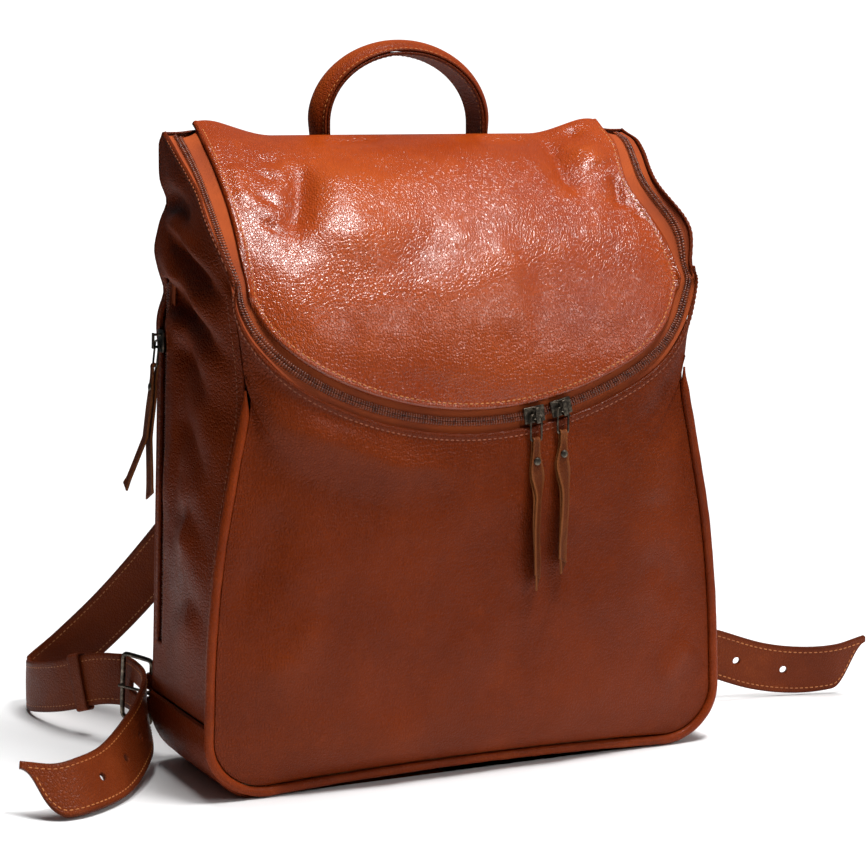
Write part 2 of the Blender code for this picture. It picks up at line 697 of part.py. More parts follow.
def pull_tab(name, origin, turn, length, splay=0.0):
    """Leather strip folded over the wire's lower bar; its two ends hang down side by side."""
    place = placed(turn, origin)
    thick, gap, ring = 0.0012, 0.0009, 0.0017
    leg = (gap + thick) / 2
    keys = [(0.0, leg + splay * 0.4, -length), (0.0, leg, -length * 0.55), (0.0, leg, -0.0070)]
    for angle in (-35, 0, 45, 90, 135, 180, 215):
        keys.append((0.0, ring * math.cos(math.radians(angle)), ring * math.sin(math.radians(angle))))
    keys += [(0.0, -leg, -0.0070), (0.0, -leg, -length * 0.55), (0.0, -leg - splay, -length * 0.94)]
    path = np.array(keys)
    steps = []
    for i in range(len(path) - 1):
        pieces = 4 if i in (0, 1, len(path) - 3, len(path) - 2) else 1
        for k in range(pieces):
            steps.append(lerp(path[i], path[i + 1], k / pieces))
    steps.append(path[-1])
    local = np.array(steps)
    tangent = unit(np.gradient(local, axis=0))
    outward = np.cross(np.tile([1.0, 0.0, 0.0], (len(local), 1)), tangent)
    width = 0.0044 + 0.0046 * smooth((-local[:, 2] - 0.004) / 0.018)
    points = []
    for i in range(len(local)):
        for a, b in flat_profile(1.0, -thick / 2, thick / 2):
            points.append(place(local[i] + np.array([a * width[i], 0, 0]) + outward[i] * b))
    made = face_outward(object_from(name, points, tube_faces(len(local), 4), STRAP_LEATHER))
    hole = rod(name + "_hole", 0.0015, place((0, -0.006, -0.0120)), place((0, 0.006, -0.0120)), BRASS, 12)
    return set_origin(bake(boolean(made, hole)), place((0, 0, 0)))


def rivet(name, origin, turn):
    """Rivet through both layers of the tab: a shank with a head at each end."""
    place = placed(turn, origin)
    reach = 0.0009 / 2 + 0.0012 + 0.00015
    profile = ((reach + 0.0007, 0.0012), (reach + 0.0005, 0.0021), (reach, 0.0024), (reach, 0.0012))
    rings = list(profile) + [(-y, r) for y, r in reversed(profile)]
    sides = 12
    points = [place((r * math.cos(2 * math.pi * k / sides), y, -0.0120 + r * math.sin(2 * math.pi * k / sides)))
              for y, r in rings for k in range(sides)]
    made = face_outward(object_from(name, points, tube_faces(len(rings), sides), BRASS))
    return set_origin(made, place((0, 0, 0)))


def turn_about(axis, degrees):
    return np.array(Matrix.Rotation(math.radians(degrees), 3, axis))


TAPE_FACE_Y = ZIP_Y + TAPE_DEPTH
PLATE_Y = TAPE_FACE_Y - COIL_T - 0.0004
for side, sign in (("left", -1), ("right", 1)):
    angle = math.radians(SLIDER_ANGLES[side])
    seat = np.array([ZIP_R * math.sin(angle), PLATE_Y, ARC_Z - ZIP_R * math.cos(angle)])
    tilt = turn_about("Y", -SLIDER_ANGLES[side])
    body = slider(f"zip_slider_{side}", seat, tilt, False)
    set_origin(body, (0.0, PLATE_Y, ARC_Z))
    pin = seat + np.array([0.0, -0.0034, 0.0])
    pull_wire(f"zip_pull_wire_{side}", pin, np.eye(3))
    tab_pin = pin + np.array([0.0, 0.0, -PULL_L])
    pull_tab(f"zip_pull_tab_{side}", tab_pin, np.eye(3), TAB_LENGTHS[side])
    rivet(f"zip_tab_rivet_{side}", tab_pin, np.eye(3))

# Zip in the rear seam of the left side.
low, high = side_zip_point(BACK_ZIP_Z[0]), side_zip_point(BACK_ZIP_Z[1])
zip_up = unit(high - low)
zip_out = unit(np.cross(zip_up, [0.0, 1.0, 0.0]))
zip_out = zip_out if zip_out[0] < 0 else -zip_out
zip_turn = np.stack([np.cross(-zip_out, zip_up), -zip_out, zip_up], axis=1)
slot = block("slot", (0.012, BACK_SLOT, float(high[2] - low[2])), tuple((low + high) / 2), COIL)
bake(boolean(bake(side_panels["left"]), slot))


def back_zip_strip(name, half, depth, thickness, trim, skin):
    """Flat strip along the rear zip, depth below the leather's outer face."""
    start = low + zip_up * trim - zip_out * depth
    end = high - zip_up * trim - zip_out * depth
    across = np.cross(zip_up, zip_out)
    return sweep(name, [start, end], [across] * 2, [zip_out] * 2, flat_profile(2 * half, -thickness, 0.0), skin)


back_zip_strip("back_zip_tape", 0.0070, LEATHER + 0.0017, TAPE_T, -0.004, TAPE)
back_zip_strip("back_zip_coil", 0.0027, 0.0012, 0.0017, 0.001, COIL)
rear_seat = side_zip_point(BACK_SLIDER_Z)
rear_seat = low + zip_up * float(np.dot(rear_seat - low, zip_up)) + zip_out * 0.0011
slider("back_zip_slider", rear_seat, zip_turn, True)
rear_pin = rear_seat + zip_out * 0.0030
level_turn = turn_about("Z", -90) @ turn_about("X", -BACK_PULL_LEAN)
pull_wire("back_zip_wire", rear_pin, level_turn)
rear_tab_pin = rear_pin + level_turn @ np.array([0.0, 0.0, -PULL_L])
pull_tab("back_zip_tab", rear_tab_pin, level_turn, 0.076, splay=0.0090)
rivet("back_zip_rivet", rear_tab_pin, level_turn)


# ---------------------------------------------------------------- handle

def handle_path(offset):
    """Arch of the handle at a distance inside (-) or outside (+) its middle line."""
    rise = HANDLE_TOP_Z - 0.0050 - HANDLE_FOOT_Z - 0.022
    path = [(-HANDLE_HALF - offset, HANDLE_Y, HANDLE_FOOT_Z + k * 0.0055) for k in range(4)]
    for angle in np.radians(np.linspace(180, 0, 17)):
        path.append(((HANDLE_HALF + offset) * math.cos(angle), HANDLE_Y,
                     HANDLE_FOOT_Z + 0.022 + (rise + offset) * math.sin(angle)))
    path += [(HANDLE_HALF + offset, HANDLE_Y, HANDLE_FOOT_Z + k * 0.0055) for k in range(3, -1, -1)]
    return np.array(path) + (HANDLE_X, 0.0, 0.0)


def handle_piece(name, offset, profile, skin):
    path = handle_path(offset)
    across = np.tile([0.0, 1.0, 0.0], (len(path), 1))
    tangent = unit(np.gradient(path, axis=0))
    outward = np.cross(across, tangent)
    made = sweep(name, path, across, -outward if outward[len(path) // 2][2] < 0 else outward, profile, skin)
    return set_origin(made, (HANDLE_X, HANDLE_Y, HANDLE_FOOT_Z))


crown = [(-0.0120, 0.0), (0.0120, 0.0), (0.0120, 0.0014), (0.0095, 0.0030), (0.0065, 0.0055), (0.0025, 0.0070),
         (-0.0025, 0.0070), (-0.0065, 0.0055), (-0.0095, 0.0030), (-0.0120, 0.0014)]
handle_piece("handle_top", 0.0, crown, BROWN)
handle_piece("handle_backing", -0.0004, flat_profile(HANDLE_W, -0.0020, 0.0), BROWN)


def handle_anchor(name, sign):
    """Leather loop end sewn to the back panel under the handle's foot."""
    x = HANDLE_X + sign * HANDLE_HALF
    wall = back_y(x, 0.322) + 0.0008
    keys = [(wall, 0.318), (wall + 0.0005, 0.334), (wall + 0.0025, 0.344),
            (HANDLE_Y - 0.0060, HANDLE_FOOT_Z - 0.0060), (HANDLE_Y - 0.0018, HANDLE_FOOT_Z - 0.0028)]
    path = spline([(x, y, z) for y, z in keys], 11)
    out = np.tile([0.0, 0.6, 0.8], (len(path), 1))
    _, across, outward = frames(path, out)
    return sweep(name, path, across, outward, flat_profile(0.024, 0.0, 0.0020), BROWN)


handle_anchor("handle_anchor_left", -1)
handle_anchor("handle_anchor_right", 1)


# ---------------------------------------------------------------- shoulder straps

STRAP_KEYS = (
    ((0.034, 0.0592, 0.306), (0.0, 1.0, 0.0)),
    ((0.038, 0.0630, 0.276), (0.05, 1.0, 0.10)),
    ((0.066, 0.0950, 0.215), (-0.10, 0.95, 0.35)),
    ((0.102, 0.1320, 0.140), (-0.35, 0.85, 0.30)),
    ((0.138, 0.1710, 0.078), (-0.50, 0.80, 0.20)),
    ((0.168, 0.2040, 0.036), (-0.30, 0.95, 0.05)),
    ((0.190, 0.2130, 0.0180), (0.45, 0.90, 0.0)),
    ((0.2005, 0.1900, 0.0180), (1.0, 0.20, 0.0)),
    ((0.193, 0.1500, 0.0260), (1.0, -0.20, 0.0)),
    ((0.1775, 0.1170, 0.0365), (1.0, -0.30, 0.0)),
    ((0.1665, 0.1000, 0.0387), (1.0, -0.12, 0.0)),
)
TAIL_KEYS = {
    "left": (
        ((0.1665, 0.0962, 0.0387), (1.0, -0.08, 0.05)),
        ((0.1655, 0.0800, 0.0385), (1.0, -0.02, 0.03)),
        ((0.1660, 0.0620, 0.0365), (1.0, 0.02, -0.03)),
        ((0.1720, 0.0420, 0.0300), (0.90, 0.30, -0.20)),
        ((0.183, 0.0200, 0.0240), (0.75, 0.45, -0.35)),
        ((0.208, -0.0150, 0.0172), (0.62, 0.50, -0.50)),
        ((0.232, -0.0340, 0.0158), (0.40, 0.70, -0.55)),
        ((0.250, -0.0370, 0.0150), (0.05, 0.82, -0.58)),
        ((0.270, -0.0320, 0.0175), (-0.10, 0.80, -0.60)),
    ),
    "right": (
        ((0.1665, 0.0962, 0.0387), (1.0, -0.08, 0.05)),
        ((0.1655, 0.0800, 0.0395), (1.0, 0.0, 0.0)),
        ((0.1665, 0.0640, 0.0405), (1.0, 0.10, 0.0)),
        ((0.1740, 0.0500, 0.0410), (0.80, 0.60, 0.0)),
        ((0.190, 0.0410, 0.0390), (0.45, 0.88, 0.0)),
        ((0.214, 0.0320, 0.0320), (0.35, 0.93, 0.05)),
        ((0.245, 0.0260, 0.0215), (0.22, 0.97, 0.05)),
        ((0.272, 0.0190, 0.0175), (0.25, 0.96, 0.10)),
        ((0.296, 0.0110, 0.0190), (0.10, 0.95, 0.20)),
        ((0.320, 0.0100, 0.0235), (-0.15, 0.95, 0.20)),
    ),
}
HOLE_STEPS = {"left": (0.0200, 0.082, 0.112, 0.142), "right": (0.0200, 0.078, 0.112, 0.146)}
KEEPER_AT = 0.93


def strap_frame(keys, sign, count):
    """Points and square frames along a strap, mirrored for the left side."""
    rows = np.array([tuple(point) + tuple(normal) for point, normal in keys])
    rows[:, [0, 3]] *= sign
    path = spline(rows, count)
    _, across, outward = frames(path[:, :3], path[:, 3:])
    return path[:, :3], across, outward


def shoulder_strap(side, sign):
    path, across, outward = strap_frame(STRAP_KEYS, sign, 48)
    return sweep(f"shoulder_strap_{side}", path, across, outward,
                 flat_profile(STRAP_W, -STRAP_T / 2, STRAP_T / 2), STRAP_LEATHER)


def strap_tail(side, sign):
    """Punched end of the strap, from the buckle to its slanted tip."""
    count = 34
    path, across, outward = strap_frame(TAIL_KEYS[side], sign, count)
    up = np.sign(across[:, 2])[:, None] * across
    length = np.concatenate([[0], np.cumsum(np.linalg.norm(np.diff(path, axis=0), axis=1))])
    cut = smooth((length - (length[-1] - 0.026)) / 0.026)
    points = []
    for i in range(len(path)):
        high, low_edge = STRAP_W / 2, -STRAP_W / 2 + cut[i] * (STRAP_W - 0.004)
        for a, b in ((low_edge, -1), (high, -1), (high, 1), (low_edge, 1)):
            points.append(path[i] + up[i] * a + outward[i] * b * STRAP_T / 2)
    made = face_outward(object_from(f"strap_tail_{side}", points, tube_faces(count, 4), STRAP_LEATHER))
    for step in HOLE_STEPS[side]:
        at = np.array([np.interp(step, length, path[:, k]) for k in range(3)])
        out = unit(np.array([np.interp(step, length, outward[:, k]) for k in range(3)]))
        if step == HOLE_STEPS[side][0]:
            along = unit(np.array([np.interp(step + 0.004, length, path[:, k]) for k in range(3)]) - at)
            turn = Matrix((along, out, np.cross(along, out))).transposed()
            boolean(made, block("punch", PRONG_SLOT, tuple(at), BRASS, turn))
        else:
            boolean(made, rod("punch", HOLE_R, at - out * 0.006, at + out * 0.006, BRASS, 12))
    set_origin(bake(made), buckle_frame(side, sign)[0])
    return made


def buckle_frame(side, sign):
    """Centre of the buckle, and its along (towards the tail), across (up) and outward directions."""
    path, _, outward = strap_frame(TAIL_KEYS[side], sign, 34)
    length = np.concatenate([[0], np.cumsum(np.linalg.norm(np.diff(path, axis=0), axis=1))])
    step = HOLE_STEPS[side][0]
    centre = np.array([np.interp(step, length, path[:, k]) for k in range(3)])
    out = unit(np.array([np.interp(step, length, outward[:, k]) for k in range(3)]))
    ahead = np.array([np.interp(step + 0.004, length, path[:, k]) for k in range(3)])
    along = unit(ahead - centre)
    up = np.cross(along, out)
    up = unit(up if up[2] > 0 else -up)
    out = unit(np.cross(up, along) if np.dot(np.cross(up, along), out) > 0 else np.cross(along, up))
    return centre, along, up, out


def buckle(side, sign):
    """Rectangular frame, tilted so that the strap passes inside its rear bar and outside its front bar."""
    centre, along, up, out = buckle_frame(side, sign)
    tilt = math.radians(BUCKLE_TILT)
    flat = along * math.cos(tilt) - out * math.sin(tilt)
    half_l, half_w, corner = BUCKLE_LENGTH / 2, BUCKLE_WIDTH / 2, 0.003
    path = []
    for cl, cw, start in ((half_l - corner, half_w - corner, 0), (-half_l + corner, half_w - corner, 90),
                          (-half_l + corner, -half_w + corner, 180), (half_l - corner, -half_w + corner, 270)):
        for k in range(4):
            angle = math.radians(start + 30 * k)
            path.append(centre + flat * (cl + corner * math.cos(angle)) + up * (cw + corner * math.sin(angle)))
    path = np.array(path)
    face = unit(np.cross(flat, up))
    _, across, outward = frames(path, np.tile(face, (len(path), 1)), closed=True)
    sweep(f"strap_buckle_{side}", path, across, outward, round_profile(BAR_R, 8), BRASS, closed=True)
    return centre, flat, up, out


def prong(side, centre, flat, up, out):
    """Prong: a ring on the front bar and a pin that rests on the rear bar."""
    bar = centre + flat * BUCKLE_LENGTH / 2
    rest = centre - flat * (BUCKLE_LENGTH / 2 + 0.0006)
    face = unit(np.cross(up, flat))
    face = face if np.dot(face, out) > 0 else -face
    rest = rest + face * (BAR_R + 0.0011 + 0.0002)
    ring = []
    for k in range(14):
        angle = 2 * math.pi * k / 14
        ring.append(bar + (flat * math.cos(angle) + face * math.sin(angle)) * 0.0026)
    ring = np.array(ring)
    _, across, outward = frames(ring, np.tile(up, (len(ring), 1)), closed=True)
    name = f"buckle_prong_{side}"
    made = sweep(name, ring, across, outward, round_profile(0.0008, 8), BRASS, closed=True)
    start = bar + unit(rest - bar) * 0.0024 + face * 0.0006
    boolean(made, rod(name + "_pin", 0.0009, start, rest, BRASS, 10), "UNION")
    return set_origin(bake(made), bar)


def buckle_tab(side, sign, centre, flat, up):
    """Short strip that runs from the bag's lower rear corner and folds round the buckle's front bar."""
    bar = centre + flat * BUCKLE_LENGTH / 2
    keys = [(sign * 0.116, back_y(0.116, 0.045) + 0.0030, 0.0340), (sign * 0.140, 0.0548, 0.0345),
            (sign * 0.1500, 0.0580, 0.0350)]
    toward = unit(bar - np.array(keys[-1]))
    side_way = unit(np.cross(toward, up))
    ring = 0.0027
    keys = [np.array(key) for key in keys]
    for angle in (-125, -80, -35, 10, 55, 100, 140):
        keys.append(bar + (toward * math.cos(math.radians(angle)) + side_way * math.sin(math.radians(angle))) * ring)
    path = np.array(keys)
    path = np.vstack([spline(path[:3], 7), path[3:]])
    tangent = unit(np.gradient(path, axis=0))
    across = np.tile(up, (len(path), 1))
    outward = unit(np.cross(tangent, across))
    made = sweep(f"buckle_tab_{side}", path, across, outward, flat_profile(0.0240, -0.0007, 0.0007), BROWN)
    rows = Matrix((unit(flat), unit(np.cross(up, flat)), up)).transposed()
    cutter = block("slot", (0.016, 0.016, 0.0060), tuple(bar), BRASS, rows)
    return bake(boolean(made, cutter))


def keeper(side, sign):
    """Leather loop round the strap above the buckle."""
    path, across, outward = strap_frame(STRAP_KEYS, sign, 56)
    i = int(KEEPER_AT * 55)
    centre, w, n = path[i], across[i], outward[i]
    half_w, half_t = STRAP_W / 2 + 0.0013, STRAP_T / 2 + 0.0013
    loop = [centre + w * a * half_w + n * b * half_t for a, b in
            ((-1, -0.4), (-0.93, -1), (0, -1), (0.93, -1), (1, -0.4), (1, 0.4), (0.93, 1), (0, 1), (-0.93, 1), (-1, 0.4))]
    loop = np.array(loop)
    along = np.cross(w, n)
    _, across_loop, outward_loop = frames(loop, np.tile(along, (len(loop), 1)), closed=True)
    return sweep(f"strap_keeper_{side}", loop, across_loop, outward_loop,
                 [(-0.0008, -0.0050), (0.0008, -0.0050), (0.0008, 0.0050), (-0.0008, 0.0050)], STRAP_LEATHER, closed=True)


TOP_ANCHOR = Vector((0.034, 0.0592, 0.306))
for side, sign in (("left", -1), ("right", 1)):
    strap = shoulder_strap(side, sign)
    set_origin(strap, (sign * TOP_ANCHOR.x, TOP_ANCHOR.y, TOP_ANCHOR.z))
    strap_tail(side, sign)
    centre, flat, up, out = buckle(side, sign)
    prong(side, centre, flat, up, out)
    buckle_tab(side, sign, centre, flat, up)
    set_origin(keeper(side, sign), (sign * TOP_ANCHOR.x, TOP_ANCHOR.y, TOP_ANCHOR.z))


def strap_patch():
    """Reinforcing patch on the back panel where both straps are sewn."""
    rows = []
    for z in np.linspace(0.280, 0.312, 4):
        rows.append([(x, back_y(x, z) + 0.0026, z) for x in np.linspace(-0.056, 0.056, 9)])
    return thicken(object_from("strap_patch", np.array(rows).reshape(-1, 3), grid_faces(4, 9, True), BROWN), 0.0020)


strap_patch()
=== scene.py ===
"""Leather backpack: the visible pieces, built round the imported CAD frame.

Metres, +Z up, the bag's front faces -Y.  Each soft solid is replaced by a finer piece that follows the same
surface, with folds, rolled edges, stitching and real zip coils.
"""
import json
import math

import bmesh
import bpy
import numpy as np
from mathutils import Matrix, Vector
from mathutils.bvhtree import BVHTree

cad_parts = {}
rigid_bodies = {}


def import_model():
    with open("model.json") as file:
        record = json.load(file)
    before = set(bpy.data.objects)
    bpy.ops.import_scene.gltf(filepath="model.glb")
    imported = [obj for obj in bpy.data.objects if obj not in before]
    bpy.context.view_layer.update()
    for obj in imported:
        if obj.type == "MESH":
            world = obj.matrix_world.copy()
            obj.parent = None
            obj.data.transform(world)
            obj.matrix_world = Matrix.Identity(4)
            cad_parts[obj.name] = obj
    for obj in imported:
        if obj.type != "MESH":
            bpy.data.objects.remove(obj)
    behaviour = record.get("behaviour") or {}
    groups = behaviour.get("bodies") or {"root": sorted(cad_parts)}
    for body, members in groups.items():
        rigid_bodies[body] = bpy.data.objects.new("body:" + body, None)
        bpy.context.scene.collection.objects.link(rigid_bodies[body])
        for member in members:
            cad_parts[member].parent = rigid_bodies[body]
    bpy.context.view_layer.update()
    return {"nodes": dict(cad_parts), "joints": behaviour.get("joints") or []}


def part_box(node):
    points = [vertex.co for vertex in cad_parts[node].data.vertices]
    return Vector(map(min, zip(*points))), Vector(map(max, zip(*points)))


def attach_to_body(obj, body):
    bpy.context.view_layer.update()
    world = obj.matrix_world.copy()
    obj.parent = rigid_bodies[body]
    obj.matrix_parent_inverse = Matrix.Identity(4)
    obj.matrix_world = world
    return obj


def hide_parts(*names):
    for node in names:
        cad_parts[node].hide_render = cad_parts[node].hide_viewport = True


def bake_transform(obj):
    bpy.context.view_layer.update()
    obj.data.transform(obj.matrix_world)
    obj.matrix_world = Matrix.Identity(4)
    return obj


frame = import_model()


# ---------------------------------------------------------------- camera, light and floor

CAMERA_PLACE, CAMERA_TURN, CAMERA_RISE, LENS_MM = (-0.608, -1.291, 0.396), -25.13, 8.04, 100.0
SUN_FROM, SUN_STRENGTH, SUN_SPREAD = (0.12, 0.10, 0.98), 2.6, 30.0
SOFTBOXES = (("front", (1.3, -2.0, 1.4), (0.0, 0.0, 0.20), (0.8, 0.8), 14.0),
             ("top", (0.19, -0.40, 1.40), (-0.05, -0.05, 0.34), (0.40, 0.28), 17.0))
ROOM_SEEN, ROOM_FILL = 1.2, 0.20


def camera():
    lens = bpy.data.cameras.new("camera")
    lens.lens = LENS_MM
    lens.sensor_width = 36.0
    lens.clip_end = 50.0
    made = bpy.data.objects.new("camera", lens)
    turn, rise = math.radians(CAMERA_TURN), math.radians(CAMERA_RISE)
    back = Vector((math.sin(turn) * math.cos(rise), -math.cos(turn) * math.cos(rise), math.sin(rise)))
    made.location = CAMERA_PLACE
    made.rotation_mode = "QUATERNION"
    made.rotation_quaternion = (-back).to_track_quat("-Z", "Y")
    bpy.context.scene.collection.objects.link(made)
    bpy.context.scene.camera = made


def softbox(name, place, aim, size, power):
    lamp = bpy.data.lights.new(name, "AREA")
    lamp.shape = "RECTANGLE"
    lamp.size, lamp.size_y = size
    lamp.energy = power
    made = bpy.data.objects.new(name, lamp)
    made.location = place
    made.rotation_mode = "QUATERNION"
    made.rotation_quaternion = (Vector(aim) - Vector(place)).to_track_quat("-Z", "Y")
    bpy.context.scene.collection.objects.link(made)


def overhead(direction, strength, spread):
    """Wide overhead source; reflections leave it out, so that it lays no haze on the leather."""
    lamp = bpy.data.lights.new("overhead", "SUN")
    lamp.energy = strength
    lamp.angle = math.radians(spread)
    made = bpy.data.objects.new("overhead", lamp)
    made.rotation_mode = "QUATERNION"
    made.rotation_quaternion = (-Vector(direction)).to_track_quat("-Z", "Y")
    made.visible_glossy = False
    bpy.context.scene.collection.objects.link(made)


def studio():
    """White room: dimmer to the left of the bag, white where the camera sees it."""
    bpy.context.scene.view_settings.view_transform = "Standard"
    world = bpy.data.worlds.new("studio")
    bpy.context.scene.world = world
    world.use_nodes = True
    tree = world.node_tree
    tree.nodes.clear()
    path = tree.nodes.new("ShaderNodeLightPath")
    where = tree.nodes.new("ShaderNodeTexCoord")
    parts = tree.nodes.new("ShaderNodeSeparateXYZ")
    grade = tree.nodes.new("ShaderNodeMapRange")
    for key, value in (("From Min", -0.9), ("From Max", 0.7), ("To Min", 0.0), ("To Max", ROOM_FILL)):
        grade.inputs[key].default_value = value
    seen = tree.nodes.new("ShaderNodeBackground")
    seen.inputs["Strength"].default_value = ROOM_SEEN
    seen.inputs["Color"].default_value = (1.0, 1.0, 1.0, 1.0)
    fill = tree.nodes.new("ShaderNodeBackground")
    fill.inputs["Color"].default_value = (0.97, 0.98, 1.0, 1.0)
    mix = tree.nodes.new("ShaderNodeMixShader")
    out = tree.nodes.new("ShaderNodeOutputWorld")
    for start, end in ((where.outputs["Generated"], parts.inputs[0]),
                       (parts.outputs["X"], grade.inputs["Value"]),
                       (grade.outputs["Result"], fill.inputs["Strength"]), (fill.outputs[0], mix.inputs[1]),
                       (path.outputs["Is Camera Ray"], mix.inputs[0]), (seen.outputs[0], mix.inputs[2]),
                       (mix.outputs[0], out.inputs["Surface"])):
        tree.links.new(start, end)
    overhead(SUN_FROM, SUN_STRENGTH, SUN_SPREAD)
    for box in SOFTBOXES:
        softbox(*box)


camera()
studio()

# ---------------------------------------------------------------- dimensions, as in the CAD solids

FRONT_Y, BACK_Y = -0.050, 0.050
CORNER_R = 0.035
BASE_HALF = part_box("base_panel")[1].x
LEATHER, CLOTH = 0.0018, 0.0007
SIDE_INSET, BACK_LOW = 0.0026, 0.0008
SEAM = 0.0006
BOOT_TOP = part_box("base_panel")[1].z
FRONT_BULGE, BACK_BULGE = 0.0140, 0.0060
FRONT_WIDTHS = ((0.035, 0.165), (0.090, 0.1625), (0.140, 0.157), (0.190, 0.1475), (0.225, 0.1410),
                (0.260, 0.1435), (0.300, 0.150), (0.380, 0.1535))
REAR_WIDTHS = ((0.035, 0.165), (0.070, 0.1635), (0.300, 0.1560), (0.380, 0.155))
PIPE_R, PIPE_CLEAR, PIPE_TOP, PIPE_LOW = 0.0028, 0.0033, 0.222, 0.0034
FRONT_LOW, ARCH = 0.0069, 0.0035
ARC_Z, BODY_R, LID_R, ZIP_Y = 0.423, 0.220, 0.207, -0.0640
BODY_EDGE = (0.103, 0.150, 0.300)
LID_EDGE = (0.097, 0.136, 0.288)
LID_CORNER_Y = -0.048
FRONT_SHARE, ZIP_FRONT_SHARE = 0.62, 0.66
BODY_ZIP_END, LID_ZIP_END = 0.994, 0.984
SIDE_BENDS = ((0.0080, 0.3590), (-0.0240, 0.3280))
CREST_BENDS = ((0.0100, 0.3680), (-0.0680, 0.3020))
TAPE_T, TAPE_DEPTH, COIL_W = 0.0007, 0.0029, 0.0026
REAR_Y, REAR_Z, EAR_RISE = 0.0488, 0.3715, 0.0105
BACK_ZIP_Y, BACK_ZIP_Z, BACK_SLOT = 0.0385, (0.075, 0.290), 0.0082
HANDLE_HALF, HANDLE_FOOT_Z, HANDLE_TOP_Z, HANDLE_Y = 0.053, 0.3560, 0.4265, 0.0650
HANDLE_X = (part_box("handle_top")[0].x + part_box("handle_top")[1].x) / 2
STRAP_W, STRAP_T, HOLE_R = 0.0320, 0.0028, 0.0025
BUCKLE_TILT, BUCKLE_LENGTH = 26.0, 0.0240
STITCH_PITCH, STITCH_LENGTH, STITCH_R = 0.0034, 0.0025, 0.00042
STITCH_INSET = 0.0040
SIDES = (("left", -1), ("right", 1))


# ---------------------------------------------------------------- numbers

def unit(vectors):
    vectors = np.asarray(vectors, float)
    return vectors / np.maximum(np.linalg.norm(vectors, axis=-1, keepdims=True), 1e-12)


def smooth(t):
    t = np.clip(t, 0.0, 1.0)
    return t * t * (3 - 2 * t)


def lerp(a, b, t):
    return a + (b - a) * t


def quadratic(t, a, b, c):
    return (1 - t) ** 2 * a + 2 * t * (1 - t) * b + t ** 2 * c


def cubic(t, a, b, c, d):
    return (1 - t) ** 3 * a + 3 * t * (1 - t) ** 2 * b + 3 * t ** 2 * (1 - t) * c + t ** 3 * d


def swells(z, rows):
    """Sum of smooth swells; each row is (middle, reach, height)."""
    return sum(height * np.exp(-((z - middle) / reach) ** 2) for middle, reach, height in rows)


def frames(path, outward, closed=False):
    """Tangent, across and outward directions along a path, square to each other."""
    path = np.asarray(path, float)
    if closed:
        tangent = unit(np.roll(path, -1, axis=0) - np.roll(path, 1, axis=0))
    else:
        tangent = unit(np.gradient(path, axis=0))
    across = unit(np.cross(outward, tangent))
    return tangent, across, np.cross(tangent, across)


def lengths(path):
    return np.concatenate([[0], np.cumsum(np.linalg.norm(np.diff(path, axis=0), axis=1))])


def resample(path, wanted):
    """Points of a path at the wanted distances along it."""
    path = np.asarray(path, float)
    along = lengths(path[:, :3])
    return np.stack([np.interp(wanted, along, path[:, k]) for k in range(path.shape[1])], axis=1)


def spline(keys, count):
    """Smooth curve through the keys (Catmull-Rom), resampled to equal steps."""
    keys = np.asarray(keys, float)
    ends = np.vstack([2 * keys[0] - keys[1], keys, 2 * keys[-1] - keys[-2]])
    dense = []
    for i in range(len(keys) - 1):
        p0, p1, p2, p3 = ends[i:i + 4]
        for t in np.linspace(0, 1, 20, endpoint=False):
            dense.append(0.5 * (2 * p1 + (p2 - p0) * t + (2 * p0 - 5 * p1 + 4 * p2 - p3) * t * t
                                + (3 * p1 - p0 - 3 * p2 + p3) * t ** 3))
    dense.append(keys[-1])
    dense = np.array(dense)
    return resample(dense, np.linspace(0, lengths(dense[:, :3])[-1], count))


def noise(points, size, seed):
    """Smooth random swells about 0, one every size metres."""
    values = np.random.default_rng(seed).uniform(-1, 1, (32, 32, 32))
    place = np.asarray(points, float) / size + 64.0 + seed * 0.37
    cell = np.floor(place).astype(int)
    part = place - cell
    part = part ** 3 * (part * (part * 6 - 15) + 10)
    total = 0.0
    for corner in range(8):
        step = np.array([(corner >> k) & 1 for k in range(3)])
        weight = np.prod(np.where(step, part, 1 - part), axis=-1)
        index = (cell + step) % 32
        total = total + weight * values[index[..., 0], index[..., 1], index[..., 2]]
    return total


def line_distance(points, line):
    """Distance from each point to a polyline, and the share of the way along it."""
    flat = points.reshape(-1, 3)
    line = np.asarray(line, float)
    along = lengths(line)
    best = np.full(len(flat), 1e9)
    share = np.zeros(len(flat))
    for i in range(len(line) - 1):
        step = line[i + 1] - line[i]
        t = np.clip((flat - line[i]) @ step / max(step @ step, 1e-12), 0, 1)
        away = np.linalg.norm(flat - line[i] - t[:, None] * step, axis=1)
        closer = away < best
        best = np.where(closer, away, best)
        share = np.where(closer, (along[i] + t * (along[i + 1] - along[i])) / along[-1], share)
    return best.reshape(points.shape[:-1]), share.reshape(points.shape[:-1])


def fold(points, line, width, depth):
    """Height of a fold along a line: sharpest at the line, with a low shoulder on each side."""
    away, share = line_distance(points, line)
    ends = smooth(share / 0.3) * smooth((1 - share) / 0.3) * 0.8 + 0.2
    q = away / width
    return depth * ends * (1.25 * np.exp(-q ** 1.6) - 0.25 * np.exp(-(q / 2.6) ** 2))


# ---------------------------------------------------------------- shape of the body

def corner_half(z, upper):
    z = np.asarray(z, float)
    below = np.clip(CORNER_R - z, 0.0, CORNER_R)
    arc = BASE_HALF - CORNER_R + np.sqrt(np.maximum(CORNER_R ** 2 - below ** 2, 0.0))
    return np.where(z < CORNER_R, arc, upper)


def corner_inset(z, inset, bottom):
    rise = np.clip((CORNER_R - np.asarray(z, float)) / (CORNER_R - bottom), 0.0, 1.0)
    return BASE_HALF - CORNER_R + (CORNER_R - inset) * np.sqrt(1 - rise ** 2)


